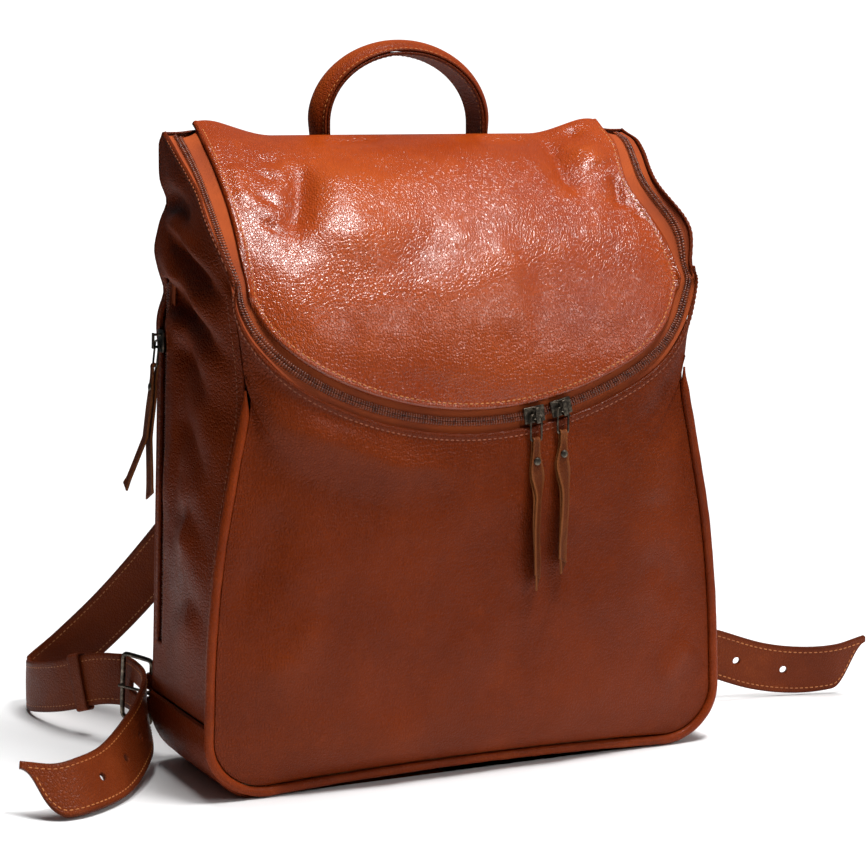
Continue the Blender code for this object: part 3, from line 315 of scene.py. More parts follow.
def table(z, pairs):
    """Smooth interpolation of (height, width) pairs."""
    heights, widths = np.array(pairs).T
    slopes = np.gradient(widths, heights)
    z = np.clip(np.asarray(z, float), heights[0], heights[-1])
    i = np.clip(np.searchsorted(heights, z, side="right") - 1, 0, len(heights) - 2)
    span = heights[i + 1] - heights[i]
    t = (z - heights[i]) / span
    return ((2 * t ** 3 - 3 * t ** 2 + 1) * widths[i] + (t ** 3 - 2 * t ** 2 + t) * span * slopes[i]
            + (3 * t ** 2 - 2 * t ** 3) * widths[i + 1] + (t ** 3 - t ** 2) * span * slopes[i + 1])


def front_half(z):
    return corner_half(z, table(z, FRONT_WIDTHS))


def rear_half(z):
    heights, widths = np.array(REAR_WIDTHS).T
    return corner_half(z, np.interp(z, heights, widths))


def edge_curve(u, radius, shape, side_y):
    """Leather edge beside the zip at the front: an arc, then a curve up to the side."""
    x_arc, x_side, z_side = shape
    share = np.abs(u)
    angle = np.minimum(share / FRONT_SHARE, 1.0) * math.asin(x_arc / radius)
    x, z = radius * np.sin(angle), ARC_Z - radius * np.cos(angle)
    z_arc = ARC_Z - math.sqrt(radius ** 2 - x_arc ** 2)
    slope = x_arc / math.sqrt(radius ** 2 - x_arc ** 2)
    z_bend = z_arc + slope * (x_side - x_arc)
    t = np.clip((share - FRONT_SHARE) / (1 - FRONT_SHARE), 0.0, 1.0)
    x = np.where(t > 0, (1 - t) ** 2 * x_arc + (1 - (1 - t) ** 2) * x_side, x)
    z = np.where(t > 0, quadratic(t, z_arc, z_bend, z_side), z)
    y = ZIP_Y + (side_y - ZIP_Y) * smooth(t)
    return np.stack([np.sign(u) * x, y, z], axis=-1)


def side_top(t):
    """Places (y, z) on the side panel's upper edge, from its front corner to the rear seam."""
    return (quadratic(t, FRONT_Y + SIDE_INSET, -0.034, BACK_Y - SIDE_INSET),
            quadratic(t, BODY_EDGE[2], 0.335, 0.378))


def side_x(y_share, z):
    fullness = 0.005 * np.sin(np.pi * np.clip(y_share / 0.8, 0, 1)) ** 2
    height = np.sin(np.pi * np.clip((z - BOOT_TOP) / 0.30, 0, 1)) ** 0.7
    straight = y_share + (1 - y_share) * smooth((y_share - 0.70) / 0.12)
    return lerp(front_half(z), rear_half(z), straight) + fullness * height


def above_piping(z):
    """0 beside the piping, 1 above its upper end."""
    return smooth((z - PIPE_TOP - 0.007) / 0.014)


def front_point(u, v):
    top = edge_curve(u, BODY_R, BODY_EDGE, FRONT_Y)
    g = lerp(u, top[..., 0] / BODY_EDGE[1], v)
    side_z = lerp(FRONT_LOW, BODY_EDGE[2], v)
    inset = PIPE_CLEAR * (1 - above_piping(side_z))
    half = np.where(side_z < CORNER_R, corner_inset(side_z, PIPE_CLEAR, FRONT_LOW),
                    front_half(side_z) - inset)
    z = lerp(FRONT_LOW + ARCH * (1 - u ** 2), top[..., 2], v)
    lower = 1 - np.abs(g) ** 2.6
    upper = (top[..., 1] - FRONT_Y) / (ZIP_Y - FRONT_Y)
    rise = np.sqrt(1 - (1 - np.minimum(v / 0.16, 1)) ** 2)
    y = FRONT_Y - FRONT_BULGE * lerp(lower, upper, v) * rise
    return np.stack(np.broadcast_arrays(g * half, y, z), axis=-1)


def side_point(side, u, v):
    y_top, z_top = side_top(u)
    z = lerp(BOOT_TOP + SEAM, z_top, v)
    inset = PIPE_CLEAR - (PIPE_CLEAR - SIDE_INSET) * above_piping(z)
    y = lerp(lerp(FRONT_Y + inset, BACK_Y - SIDE_INSET, u), y_top, v)
    return np.stack(np.broadcast_arrays(side * side_x(u, z), y, z), axis=-1)


def back_top(x):
    return 0.3680 + 0.0095 * smooth((np.abs(x) - 0.090) / 0.050)


def back_point(u, v):
    z_side = lerp(BACK_LOW, 0.3785, v)
    x = u * rear_half(z_side)
    y = BACK_Y + BACK_BULGE * (1 - u ** 4) * np.sin(np.pi * v) ** 0.7
    return np.stack(np.broadcast_arrays(x, y, lerp(BACK_LOW, back_top(x), v)), axis=-1)


def back_y(x, z):
    v = (z - BACK_LOW) / (back_top(x) - BACK_LOW)
    u = x / rear_half(z)
    return BACK_Y + BACK_BULGE * (1 - u ** 4) * np.sin(np.pi * v) ** 0.7


def lid_point(u, t):
    """Each column is a curve from the rear seam over the crest to the zip."""
    x_rear = u * LID_EDGE[1]
    z_rear = REAR_Z + EAR_RISE * smooth((np.abs(x_rear) - 0.085) / 0.050)
    front = edge_curve(u, LID_R, LID_EDGE, LID_CORNER_Y)
    full = 1 - np.abs(u) ** 2.4
    (y1, z1), (y2, z2) = [[lerp(edge, middle, full) for edge, middle in zip(*pair)]
                          for pair in zip(SIDE_BENDS, CREST_BENDS)]
    x = lerp(x_rear, front[..., 0], smooth(t) * 0.5 + t * 0.5)
    y = cubic(t, REAR_Y, y1, y2, front[..., 1])
    z = cubic(t, z_rear, z1, z2, front[..., 2])
    return np.stack(np.broadcast_arrays(x, y, z), axis=-1)


def zip_edges(s):
    """Lid-side and body-side leather edges at the same place along the zip, s from -1 to 1."""
    share = np.abs(s)
    u = np.sign(s) * np.minimum(share / ZIP_FRONT_SHARE, 1.0)
    lid_front = edge_curve(u, LID_R, LID_EDGE, LID_CORNER_Y)
    body_front = edge_curve(u, BODY_R, BODY_EDGE, FRONT_Y)
    along = np.clip((share - ZIP_FRONT_SHARE) / (1 - ZIP_FRONT_SHARE), 0.0, 1.0)
    t = 1 - along
    (y1, z1), (y2, z2) = SIDE_BENDS
    lid_side = np.stack([np.sign(s) * LID_EDGE[1] * np.ones_like(t),
                         cubic(t, REAR_Y, y1, y2, LID_CORNER_Y),
                         cubic(t, REAR_Z + EAR_RISE, z1, z2, LID_EDGE[2])], axis=-1)
    y_top, z_top = side_top(along)
    share_y = (y_top - FRONT_Y) / (BACK_Y - FRONT_Y)
    body_side = np.stack([np.sign(s) * side_x(np.clip(share_y, 0, 1), z_top), y_top, z_top], axis=-1)
    at_side = (share > ZIP_FRONT_SHARE)[..., None]
    return np.where(at_side, lid_side, lid_front), np.where(at_side, body_side, body_front), along


# ---------------------------------------------------------------- materials

class Shader:
    """A material's node tree, with short calls to add nodes to it."""

    def __init__(self, name):
        self.skin = bpy.data.materials.new(name)
        self.skin.use_nodes = True
        self.tree = self.skin.node_tree
        self.surface = self.tree.nodes["Principled BSDF"]

    def add(self, kind, inputs=(), **settings):
        made = self.tree.nodes.new("ShaderNode" + kind)
        for key, value in settings.items():
            setattr(made, key, value)
        for key, value in dict(inputs).items():
            self.set(made, key, value)
        return made

    def set(self, made, key, value):
        if isinstance(value, bpy.types.NodeSocket):
            self.tree.links.new(value, made.inputs[key])
        else:
            made.inputs[key].default_value = value

    def place(self):
        return self.add("TexCoord").outputs["Object"]

    def noise(self, at, scale, detail=2.0, rough=0.5):
        return self.add("TexNoise", {"Vector": at, "Scale": scale, "Detail": detail, "Roughness": rough})

    def math(self, operation, a, b=0.5, clamp=False):
        return self.add("Math", {0: a, 1: b}, operation=operation, use_clamp=clamp).outputs[0]

    def spread(self, value, low, high, to_low=0.0, to_high=1.0):
        made = self.add("MapRange", {"Value": value, "From Min": low, "From Max": high,
                                     "To Min": to_low, "To Max": to_high}, interpolation_type="SMOOTHSTEP")
        return made.outputs["Result"]

    def mix(self, share, a, b, blend="MIX"):
        made = self.add("Mix", data_type="RGBA", blend_type=blend)
        for socket, value in ((0, share), (6, a), (7, b)):
            if isinstance(value, bpy.types.NodeSocket):
                self.tree.links.new(value, made.inputs[socket])
            else:
                made.inputs[socket].default_value = value if socket == 0 else (*value, 1.0)
        return made.outputs[2]

    def attribute(self, name):
        return self.add("Attribute", attribute_name=name).outputs["Fac"]

    def bump(self, height, distance, strength=1.0, under=None):
        inputs = {"Height": height, "Distance": distance, "Strength": strength}
        if under is not None:
            inputs["Normal"] = under
        return self.add("Bump", inputs).outputs["Normal"]

    def finish(self, **values):
        for key, value in values.items():
            self.set(self.surface, key.replace("_", " "), value)
        return self.skin


def leather(name, colour, dark, light, grain=1.0, gloss=(0.30, 0.50), crease=0.35, coat=0.04,
            specular=0.10):
    """Pull-up leather: a pebbled grain, slow changes of tone, burnished edges, and a painted highlight that
    makes raised folds paler.
    """
    made = Shader(name)
    at = made.place()
    warp = made.noise(at, 240.0, 2.0)
    bent = made.add("VectorMath", {0: warp.outputs["Color"], 1: (0.0016, 0.0016, 0.0016)},
                    operation="MULTIPLY")
    moved = made.add("VectorMath", {0: at, 1: bent.outputs[0]}, operation="ADD").outputs[0]
    drawn = made.add("VectorMath", {0: moved, 1: (1.25, 1.0, 0.80)}, operation="MULTIPLY").outputs[0]
    pebbles = made.add("TexVoronoi", {"Vector": drawn, "Scale": 560.0, "Randomness": 0.9},
                       feature="DISTANCE_TO_EDGE")
    cells = made.spread(pebbles.outputs["Distance"], 0.0, 0.26)
    fine = made.noise(at, 2600.0, 1.0).outputs["Fac"]
    swell = made.noise(at, 130.0, 3.0, 0.55).outputs["Fac"]
    slow = made.noise(at, 14.0, 4.0, 0.6).outputs["Fac"]
    patchy = made.noise(at, 48.0, 3.0, 0.65).outputs["Fac"]
    tone = made.mix(made.spread(slow, 0.34, 0.68), dark, colour)
    tone = made.mix(made.math("MULTIPLY", made.spread(patchy, 0.48, 0.78), 0.40), tone, light)
    tone = made.mix(made.math("MULTIPLY", made.math("SUBTRACT", 1.0, cells), 0.42), tone, dark)
    burnt = made.math("MULTIPLY", made.attribute("edge"), 0.62, True)
    tone = made.mix(burnt, tone, tuple(0.42 * part for part in dark))
    # ridge mark: painted highlight that makes raised folds and the handle's top paler, and real wear on the
    # tabs' cut edges
    wear_and_sheen = made.math("MULTIPLY", made.attribute("ridge"), 0.45, True)
    tone = made.mix(wear_and_sheen, tone, light)
    uneven = made.math("ADD", made.math("MULTIPLY", patchy, 0.5), made.math("MULTIPLY", slow, 0.5))
    shine = made.spread(uneven, 0.35, 0.65, *gloss)
    shine = made.math("ADD", shine, made.math("MULTIPLY", made.math("SUBTRACT", 1.0, cells), 0.12), True)
    normal = made.bump(swell, 0.0012 * crease, 0.55)
    wrinkle = made.noise(moved, 420.0, 3.0, 0.6).outputs["Fac"]
    lines = made.math("MULTIPLY", wrinkle, made.attribute("fold"))
    normal = made.bump(lines, 0.0009, 0.8, normal)
    polished = made.bump(cells, 0.00014 * grain, 0.8, normal)
    normal = made.bump(cells, 0.00034 * grain, 0.9, normal)
    normal = made.bump(fine, 0.00002 * grain, 0.4, normal)
    return made.finish(Base_Color=tone, Roughness=shine, Normal=normal, Coat_Weight=coat,
                       Coat_Roughness=0.22, Coat_IOR=1.8, Coat_Normal=polished,
                       Specular_IOR_Level=specular, Specular_Tint=(1.0, 0.70, 0.50, 1.0))


def thread(name, colour, dark):
    """Waxed thread, twisted."""
    made = Shader(name)
    at = made.place()
    strands = made.noise(at, 1900.0, 2.0).outputs["Fac"]
    slow = made.noise(at, 60.0, 2.0).outputs["Fac"]
    tone = made.mix(made.spread(slow, 0.35, 0.65), dark, colour)
    return made.finish(Base_Color=tone, Roughness=made.spread(strands, 0.3, 0.7, 0.45, 0.7),
                       Normal=made.bump(strands, 0.0002, 0.7))


def woven(name, colour, dark, threads, depth=0.00018, rough=(0.78, 0.95)):
    """Plain weave: two sets of ribs that cross."""
    made = Shader(name)
    at = made.place()
    ribs = []
    for direction in ("X", "Y", "Z"):
        wave = made.add("TexWave", {"Vector": at, "Scale": threads, "Distortion": 0.6, "Detail": 1.0,
                                    "Detail Scale": 8.0}, wave_type="BANDS", bands_direction=direction)
        ribs.append(wave.outputs["Fac"])
    weave = made.math("MULTIPLY", made.math("ADD", ribs[0], ribs[1]), ribs[2])
    slow = made.noise(at, 30.0, 3.0).outputs["Fac"]
    tone = made.mix(made.spread(slow, 0.3, 0.7), dark, colour)
    tone = made.mix(made.math("MULTIPLY", weave, 0.22, True), tone, colour)
    return made.finish(Base_Color=tone, Roughness=made.spread(slow, 0.3, 0.7, *rough),
                       Normal=made.bump(weave, depth, 0.8), Specular_IOR_Level=0.3)


def metal(name, colour, dark):
    """Antique brass: a dark patina, rubbed brighter where it is handled."""
    made = Shader(name)
    at = made.place()
    slow = made.noise(at, 260.0, 4.0, 0.65).outputs["Fac"]
    fine = made.noise(at, 2400.0, 3.0).outputs["Fac"]
    wear_and_sheen = made.spread(slow, 0.42, 0.66)
    return made.finish(Base_Color=made.mix(wear_and_sheen, dark, colour), Metallic=1.0,
                       Roughness=made.spread(fine, 0.3, 0.7, 0.26, 0.46),
                       Normal=made.bump(fine, 0.00006, 0.5))


def nylon(name, colour, dark):
    made = Shader(name)
    at = made.place()
    slow = made.noise(at, 300.0, 2.0).outputs["Fac"]
    return made.finish(Base_Color=made.mix(made.spread(slow, 0.35, 0.65), dark, colour),
                       Roughness=made.spread(slow, 0.35, 0.65, 0.24, 0.38),
                       Normal=made.bump(made.noise(at, 3000.0).outputs["Fac"], 0.00003, 0.4))


def fibrous(name, colour, dark, scale, rough):
    made = Shader(name)
    at = made.place()
    grain = made.noise(at, scale, 5.0, 0.7).outputs["Fac"]
    return made.finish(Base_Color=made.mix(made.spread(grain, 0.3, 0.7), dark, colour), Roughness=rough,
                       Normal=made.bump(grain, 0.0003, 0.8))


SKINS = {
    # painted light and shade: lid and body are one leather; the lid's colours are painted lighter where its
    # top faces the light, the body's darker as shade on its upright faces
    "lid": leather("lid_leather_painted_lit", (0.34, 0.048, 0.003), (0.26, 0.031, 0.002), (0.42, 0.070, 0.006), 1.0,
                   (0.38, 0.46), coat=0.48, specular=0.08),
    "body": leather("body_leather_painted_dim", (0.170, 0.022, 0.0020), (0.125, 0.0155, 0.0015),
                    (0.215, 0.031, 0.0030), 1.0, (0.38, 0.48), coat=0.07),
    "strap": leather("strap_skin", (0.175, 0.030, 0.006), (0.11, 0.017, 0.004), (0.26, 0.052, 0.011), 0.8,
                     (0.36, 0.50)),
    "trim": leather("trim_leather", (0.24, 0.034, 0.005), (0.15, 0.020, 0.004), (0.34, 0.060, 0.009), 0.6,
                    (0.28, 0.40)),
    "tab": leather("tab_leather", (0.13, 0.028, 0.007), (0.075, 0.016, 0.005), (0.34, 0.115, 0.035), 0.8,
                   (0.5, 0.7)),
    "bright_thread": thread("bright_thread", (0.50, 0.17, 0.040), (0.36, 0.105, 0.022)),
    "brown_thread": thread("brown_thread", (0.30, 0.075, 0.022), (0.20, 0.045, 0.014)),
    "tape": woven("tape_weave", (0.34, 0.062, 0.012), (0.25, 0.040, 0.008), 560.0),
    "coil": nylon("coil_nylon", (0.19, 0.042, 0.014), (0.085, 0.018, 0.008)),
    "lining": woven("lining_weave", (0.34, 0.25, 0.17), (0.26, 0.185, 0.12), 420.0, 0.00015),
    "brass": metal("aged_brass", (0.22, 0.18, 0.135), (0.060, 0.050, 0.040)),
    "board": fibrous("grey_board", (0.26, 0.21, 0.15), (0.18, 0.14, 0.10), 700.0, 0.9),
    "foam": fibrous("foam_cells", (0.58, 0.56, 0.50), (0.46, 0.44, 0.40), 900.0, 0.95),
}


# ---------------------------------------------------------------- building pieces

def grid_faces(rows, columns, flip=False):
    start = (np.arange(rows - 1)[:, None] * columns + np.arange(columns - 1)).ravel()
    faces = np.stack([start, start + 1, start + columns + 1, start + columns], axis=1)
    return (faces[:, ::-1] if flip else faces).tolist()


def tube_faces(rings, sides, closed=False, caps=True):
    faces = []
    for i in range(rings if closed else rings - 1):
        j = (i + 1) % rings
        faces += [(i * sides + k, i * sides + (k + 1) % sides, j * sides + (k + 1) % sides, j * sides + k)
                  for k in range(sides)]
    if caps and not closed:
        faces += [tuple(range(sides))[::-1], tuple((rings - 1) * sides + k for k in range(sides))]
    return faces


def mesh_piece(name, points, faces, skin, marks=None):
    """Object from points and faces, with float attributes named in marks."""
    mesh = bpy.data.meshes.new(name)
    mesh.from_pydata(np.asarray(points, float).reshape(-1, 3).tolist(), [], faces)
    mesh.update()
    for key, values in (marks or {}).items():
        layer = mesh.attributes.new(key, "FLOAT", "POINT")
        layer.data.foreach_set("value", np.asarray(values, np.float32).ravel())
    mesh.materials.append(SKINS[skin])
    mesh.polygons.foreach_set("use_smooth", [True] * len(mesh.polygons))
    made = bpy.data.objects.new(name, mesh)
    bpy.context.scene.collection.objects.link(made)
    made["skin"] = skin
    return made


def face_outward(made):
    shape = bmesh.new()
    shape.from_mesh(made.data)
    bmesh.ops.recalc_face_normals(shape, faces=shape.faces)
    shape.to_mesh(made.data)
    shape.free()
    return made


def bake(made):
    """Apply the modifiers and remove any helper that they used."""
    helpers = [change.object for change in made.modifiers if change.type == "BOOLEAN"]
    graph = bpy.context.evaluated_depsgraph_get()
    mesh = bpy.data.meshes.new_from_object(made.evaluated_get(graph))
    made.modifiers.clear()
    made.data = mesh
    for helper in helpers:
        bpy.data.objects.remove(helper, do_unlink=True)
    return made


def thicken(made, thickness, offset=-1.0):
    """Give a sheet its thickness: offset -1 grows it inward, 0 both ways."""
    solid = made.modifiers.new("Solidify", "SOLIDIFY")
    solid.thickness = thickness
    solid.offset = offset
    return bake(made)


def attach(made, body, nodes=(), to=None, start=None, end=None):
    """Hide the CAD nodes that a piece stands for, and put the piece on its body; when to is given, only bake
    its transform.
    """
    if nodes:
        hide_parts(*nodes)
    if to is None:
        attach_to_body(made, body)
    else:
        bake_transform(made)
    return made


def cut(made, cutter):
    cutter.hide_render = True
    change = made.modifiers.new("Boolean", "BOOLEAN")
    change.operation = "DIFFERENCE"
    change.solver = "EXACT"
    change.object = cutter
    return bake(made)


def sweep(name, path, across, outward, profile, skin, closed=False, scale=None, edge=None, marks=None):
    """Sweep a closed profile of (across, outward) offsets along a path; edge gives the profile's wear."""
    profile = np.asarray(profile, float)
    count, sides = len(path), len(profile)
    scale = np.ones(count) if scale is None else np.asarray(scale, float)
    offsets = across[:, None] * profile[None, :, :1] + outward[:, None] * profile[None, :, 1:]
    points = path[:, None] + offsets * scale[:, None, None]
    marks = dict(marks or {})
    if edge is not None:
        marks["edge"] = np.tile(edge, (count, 1))
    return face_outward(mesh_piece(name, points, tube_faces(count, sides, closed), skin, marks))


def strip_profile(width, thickness, radius=0.0007, dome=0.0, low=None):
    """Rounded flat section, with its wear: 1 on the cut edges, 0 on the faces."""
    half, top = width / 2, thickness / 2
    radius = min(radius, thickness * 0.49)
    points, wear = [], []
    inner = np.linspace(-1, 1, 9)[1:-1] * (half - 0.0042)
    face = np.concatenate([[-half + radius, -half + 0.0022, -half + 0.0036], inner,
                           [half - 0.0036, half - 0.0022, half - radius]])
    for x in face:
        points.append((x, -top))
        wear.append(float(np.clip(1 - (half - abs(x)) / 0.0022, 0, 1)))
    for angle in (-55, -20, 20, 55):
        turn = math.radians(angle)
        points.append((half - radius + radius * math.cos(turn), (top - radius) * np.sign(angle)
                       + radius * math.sin(turn)))
        wear.append(1.0)
    for x in face[::-1]:
        groove = 0.00018 * math.exp(-((half - abs(x) - 0.0036) / 0.0009) ** 2)
        points.append((x, top + dome * (1 - (x / half) ** 2) - groove))
        wear.append(float(np.clip(1 - (half - abs(x)) / 0.0022, 0, 1)))
    for angle in (125, 160, 200, 235):
        turn = math.radians(angle)
        points.append((-half + radius + radius * math.cos(turn), (top - radius) * np.sign(180 - angle)
                       + radius * math.sin(turn)))
        wear.append(1.0)
    shift = 0.0 if low is None else low + top
    return [(x, y + shift) for x, y in points], wear


def at_step(step, length, values):
    """Value of (x, y, z) rows at a distance along their path."""
    return np.array([np.interp(step, length, values[:, k]) for k in range(3)])


def round_profile(radius, sides=12):
    turn = 2 * np.pi * np.arange(sides) / sides
    return np.stack([radius * np.cos(turn), radius * np.sin(turn)], axis=1)


def rod(name, radius, start, end, skin="brass", sides=20):
    start, end = np.asarray(start, float), np.asarray(end, float)
    tangent = unit(end - start)
    helper = np.array([0.0, 0.0, 1.0]) if abs(tangent[2]) < 0.9 else np.array([1.0, 0.0, 0.0])
    across = unit(np.cross(helper, tangent))
    return sweep(name, np.array([start, end]), np.array([across] * 2),
                 np.array([np.cross(tangent, across)] * 2), round_profile(radius, sides), skin)


def box_piece(name, size, centre, turn, skin="brass"):
    corners = np.array([(x, y, z) for x in (-0.5, 0.5) for y in (-0.5, 0.5) for z in (-0.5, 0.5)]) * size
    faces = [(0, 1, 3, 2), (4, 6, 7, 5), (0, 4, 5, 1), (2, 3, 7, 6), (0, 2, 6, 4), (1, 5, 7, 3)]
    return face_outward(mesh_piece(name, corners @ np.asarray(turn, float).T + centre, faces, skin))


SURFACES = {}


def surface_of(made):
    """Closest-point tree of a piece's mesh."""
    return BVHTree.FromPolygons([tuple(v.co) for v in made.data.vertices],
                                [tuple(p.vertices) for p in made.data.polygons])


def laid_on(tree, path, out=None):
    """Points of a path moved onto a surface, with the surface's directions."""
    points, normals = [], []
    for point in path:
        found, normal, _, _ = tree.find_nearest(Vector(point))
        points.append(tuple(found))
        normals.append(tuple(normal))
    normals = np.array(normals)
    if out is not None:
        normals *= np.sign((normals * out).sum(axis=1, keepdims=True))
    return np.array(points), unit(normals)


def stitches(name, runs, skin, body, size=1.0, **blend):
    """Rows of sunk thread stitches: each run is (path, outward)."""
    sides, rings = 6, ((-0.5, 0.35, -0.55), (-0.36, 0.85, -0.1), (0.0, 1.0, 0.15), (0.36, 0.85, -0.1),
                       (0.5, 0.35, -0.55))
    section = round_profile(STITCH_R * size, sides)
    points = []
    for path, outward in runs:
        path = np.asarray(path, float)
        outward = np.asarray(outward, float)
        total = lengths(path)[-1]
        number = max(2, int(total / STITCH_PITCH))
        at = (np.arange(number) + 0.5) * total / number
        spots = resample(np.hstack([path, outward]), at)
        ahead = resample(path, np.minimum(at + 0.0004, total)) - resample(path, np.maximum(at - 0.0004, 0))
        tangent, up = unit(ahead), unit(spots[:, 3:])
        across = unit(np.cross(up, tangent))
        for along, width, rise in rings:
            ring = spots[:, None, :3] + tangent[:, None] * along * STITCH_LENGTH
            ring = ring + across[:, None] * section[None, :, :1] * width
            ring = ring + up[:, None] * (section[None, :, 1:] * width * 0.8 + rise * STITCH_R * size)
            points.append(ring)
    count = len(rings)
    stacked = []
    for start in range(0, len(points), count):
        stacked.append(np.stack(points[start:start + count], axis=1).reshape(-1, sides, 3))
    stacked = np.concatenate(stacked)
    pattern = tube_faces(count, sides)
    number = len(stacked) // count
    faces = [tuple(i * count * sides + k for k in face) for i in range(number) for face in pattern]
    made = mesh_piece(name, stacked, faces, skin)
    return attach(made, body, **blend)


# ---------------------------------------------------------------- leather panels

def clustered(count, low=0.0, high=1.0, near=0.012, extra=4):
    """Even samples, with extra ones close to both ends."""
    body = np.linspace(0, 1, count)
    ends = near * np.linspace(0, 1, extra + 1)[1:] ** 1.3
    values = np.unique(np.concatenate([body, ends, 1 - ends]))
    return low + (high - low) * values


def panel(name, points, skin, folds=(), edges="", flip=False, rumple=1.0, roll=0.0016, seed=1,
          limit=0.008, seam_at=None):
    """One leather panel: the CAD surface with folds, soft rumples, rolled edges and a stitch groove."""
    normal = unit(np.cross(np.gradient(points, axis=1), np.gradient(points, axis=0)))
    if flip:
        normal = -normal
    border = {"t": points[-1], "b": points[0], "l": points[:, 0], "r": points[:, -1]}
    away = np.full(points.shape[:-1], 1.0)
    for key in "tblr":
        away = np.minimum(away, line_distance(points, border[key])[0])
    rolled = np.full(points.shape[:-1], 1.0)
    for key in edges:
        rolled = np.minimum(rolled, line_distance(points, border[key])[0])
    height = np.zeros(points.shape[:-1])
    for line, width, depth in folds:
        height += fold(points, line, width, depth)
    inside = smooth(away / 0.022)
    rough = (noise(points, 0.055, seed) * 0.0017 + noise(points, 0.026, seed + 1) * 0.0008
             + noise(points, 0.012, seed + 2) * 0.00028 + noise(points, 0.006, seed + 3) * 0.00010)
    height = np.clip(height * smooth(away / 0.012), -limit, limit) + rough * rumple * inside
    # painted highlight: raised folds and rumples get the ridge mark, which paints them paler
    ridge = np.clip(height / 0.004, 0, 1)
    crease = np.clip(-height / 0.003, 0, 1)
    if seam_at:
        pucker = 0.00022 * (1 + 0.6 * noise(points, 0.005, seed + 5))
        height -= pucker * np.exp(-((rolled - seam_at) / 0.0011) ** 2)
        height += 0.00035 * np.exp(-((rolled - seam_at * 0.5) / 0.0016) ** 2)
    drop = roll - np.sqrt(np.maximum(roll ** 2 - np.maximum(roll - rolled, 0) ** 2, 0))
    moved = points + normal * (height - drop)[..., None]
    rows, columns = points.shape[:2]
    marks = {"edge": 0.8 * np.exp(-(rolled / 0.0022) ** 2), "ridge": ridge, "fold": crease}
    made = mesh_piece(name, moved, grid_faces(rows, columns, flip), skin, marks)
    SURFACES[name] = surface_of(made)
    return thicken(made, LEATHER)


def on_panel(surface, spots):
    """World points of panel parameters."""
    return [surface(np.array(a, float), np.array(b, float)) for a, b in spots]


# height, reach and inward move of the places where folds cross the left rear edge
REAR_EDGE_DRAWS = ((0.334, 0.0085, 0.0046), (0.306, 0.0110, -0.0030), (0.282, 0.0080, 0.0030),
                   (0.262, 0.0100, -0.0012))


def squeezed(points):
    """The bag's left rear edge drawn in and out by the folds that cross it."""
    inward = swells(points[..., 2], REAR_EDGE_DRAWS)
    held = smooth((points[..., 1] + 0.030) / 0.060) * smooth((-points[..., 0] - 0.085) / 0.060)
    moved = points.copy()
    moved[..., 0] += inward * held
    return moved


LID_FOLDS = (
    (((-0.585, 0.26), (-0.605, 0.36), (-0.635, 0.46), (-0.675, 0.56), (-0.69, 0.64)), 0.0085, -0.0058),
    (((-0.44, 0.24), (-0.44, 0.40), (-0.42, 0.56), (-0.34, 0.68)), 0.034, 0.0050),
    (((-0.78, 0.34), (-0.70, 0.38)), 0.0042, -0.0014),
    (((-0.80, 0.46), (-0.71, 0.50)), 0.0042, -0.0016),
    (((-0.82, 0.58), (-0.73, 0.60)), 0.0040, -0.0014),
    (((-0.76, 0.28), (-0.66, 0.27)), 0.0045, -0.0012),
    (((-0.88, 0.30), (-0.90, 0.55)), 0.010, 0.0020),
    (((-0.45, 0.10), (-0.30, 0.06), (-0.10, 0.07)), 0.012, -0.0030),
    (((0.30, 0.10), (0.50, 0.07), (0.62, 0.10)), 0.014, -0.0026),
    (((0.68, 0.08), (0.64, 0.22), (0.61, 0.36), (0.62, 0.47)), 0.0095, -0.0050),
    (((0.84, 0.05), (0.78, 0.12)), 0.006, -0.0030),
    (((0.78, 0.20), (0.80, 0.36)), 0.014, 0.0030),
    (((0.97, 0.42), (0.86, 0.50), (0.78, 0.56)), 0.0070, -0.0042),
    (((0.97, 0.58), (0.88, 0.66)), 0.0060, -0.0030),
    (((-0.20, 0.62), (0.05, 0.70), (0.30, 0.66)), 0.045, 0.0030),
)

FRONT_FOLDS = (
    (((-0.143, 0.270), (-0.128, 0.247), (-0.100, 0.228), (-0.066, 0.214)), 0.0105, -0.0046),
    (((-0.136, 0.228), (-0.114, 0.211), (-0.083, 0.199), (-0.054, 0.188), (-0.010, 0.182)), 0.0120, 0.0034),
    (((-0.120, 0.188), (-0.090, 0.172), (-0.050, 0.160)), 0.0120, -0.0022),
    (((0.136, 0.235), (0.122, 0.212), (0.100, 0.200)), 0.0090, -0.0030),
    (((0.124, 0.193), (0.112, 0.150)), 0.0150, 0.0026),
    (((0.140, 0.092), (0.122, 0.112), (0.104, 0.120)), 0.0110, -0.0022),
    (((0.146, 0.066), (0.122, 0.036)), 0.0130, 0.0026),
    (((-0.140, 0.060), (-0.118, 0.080), (-0.100, 0.110)), 0.0150, 0.0022),
    (((-0.125, 0.030), (-0.080, 0.024), (-0.030, 0.028)), 0.0140, 0.0020),
    (((-0.148, 0.115), (-0.130, 0.140), (-0.122, 0.170)), 0.0120, -0.0022),
)

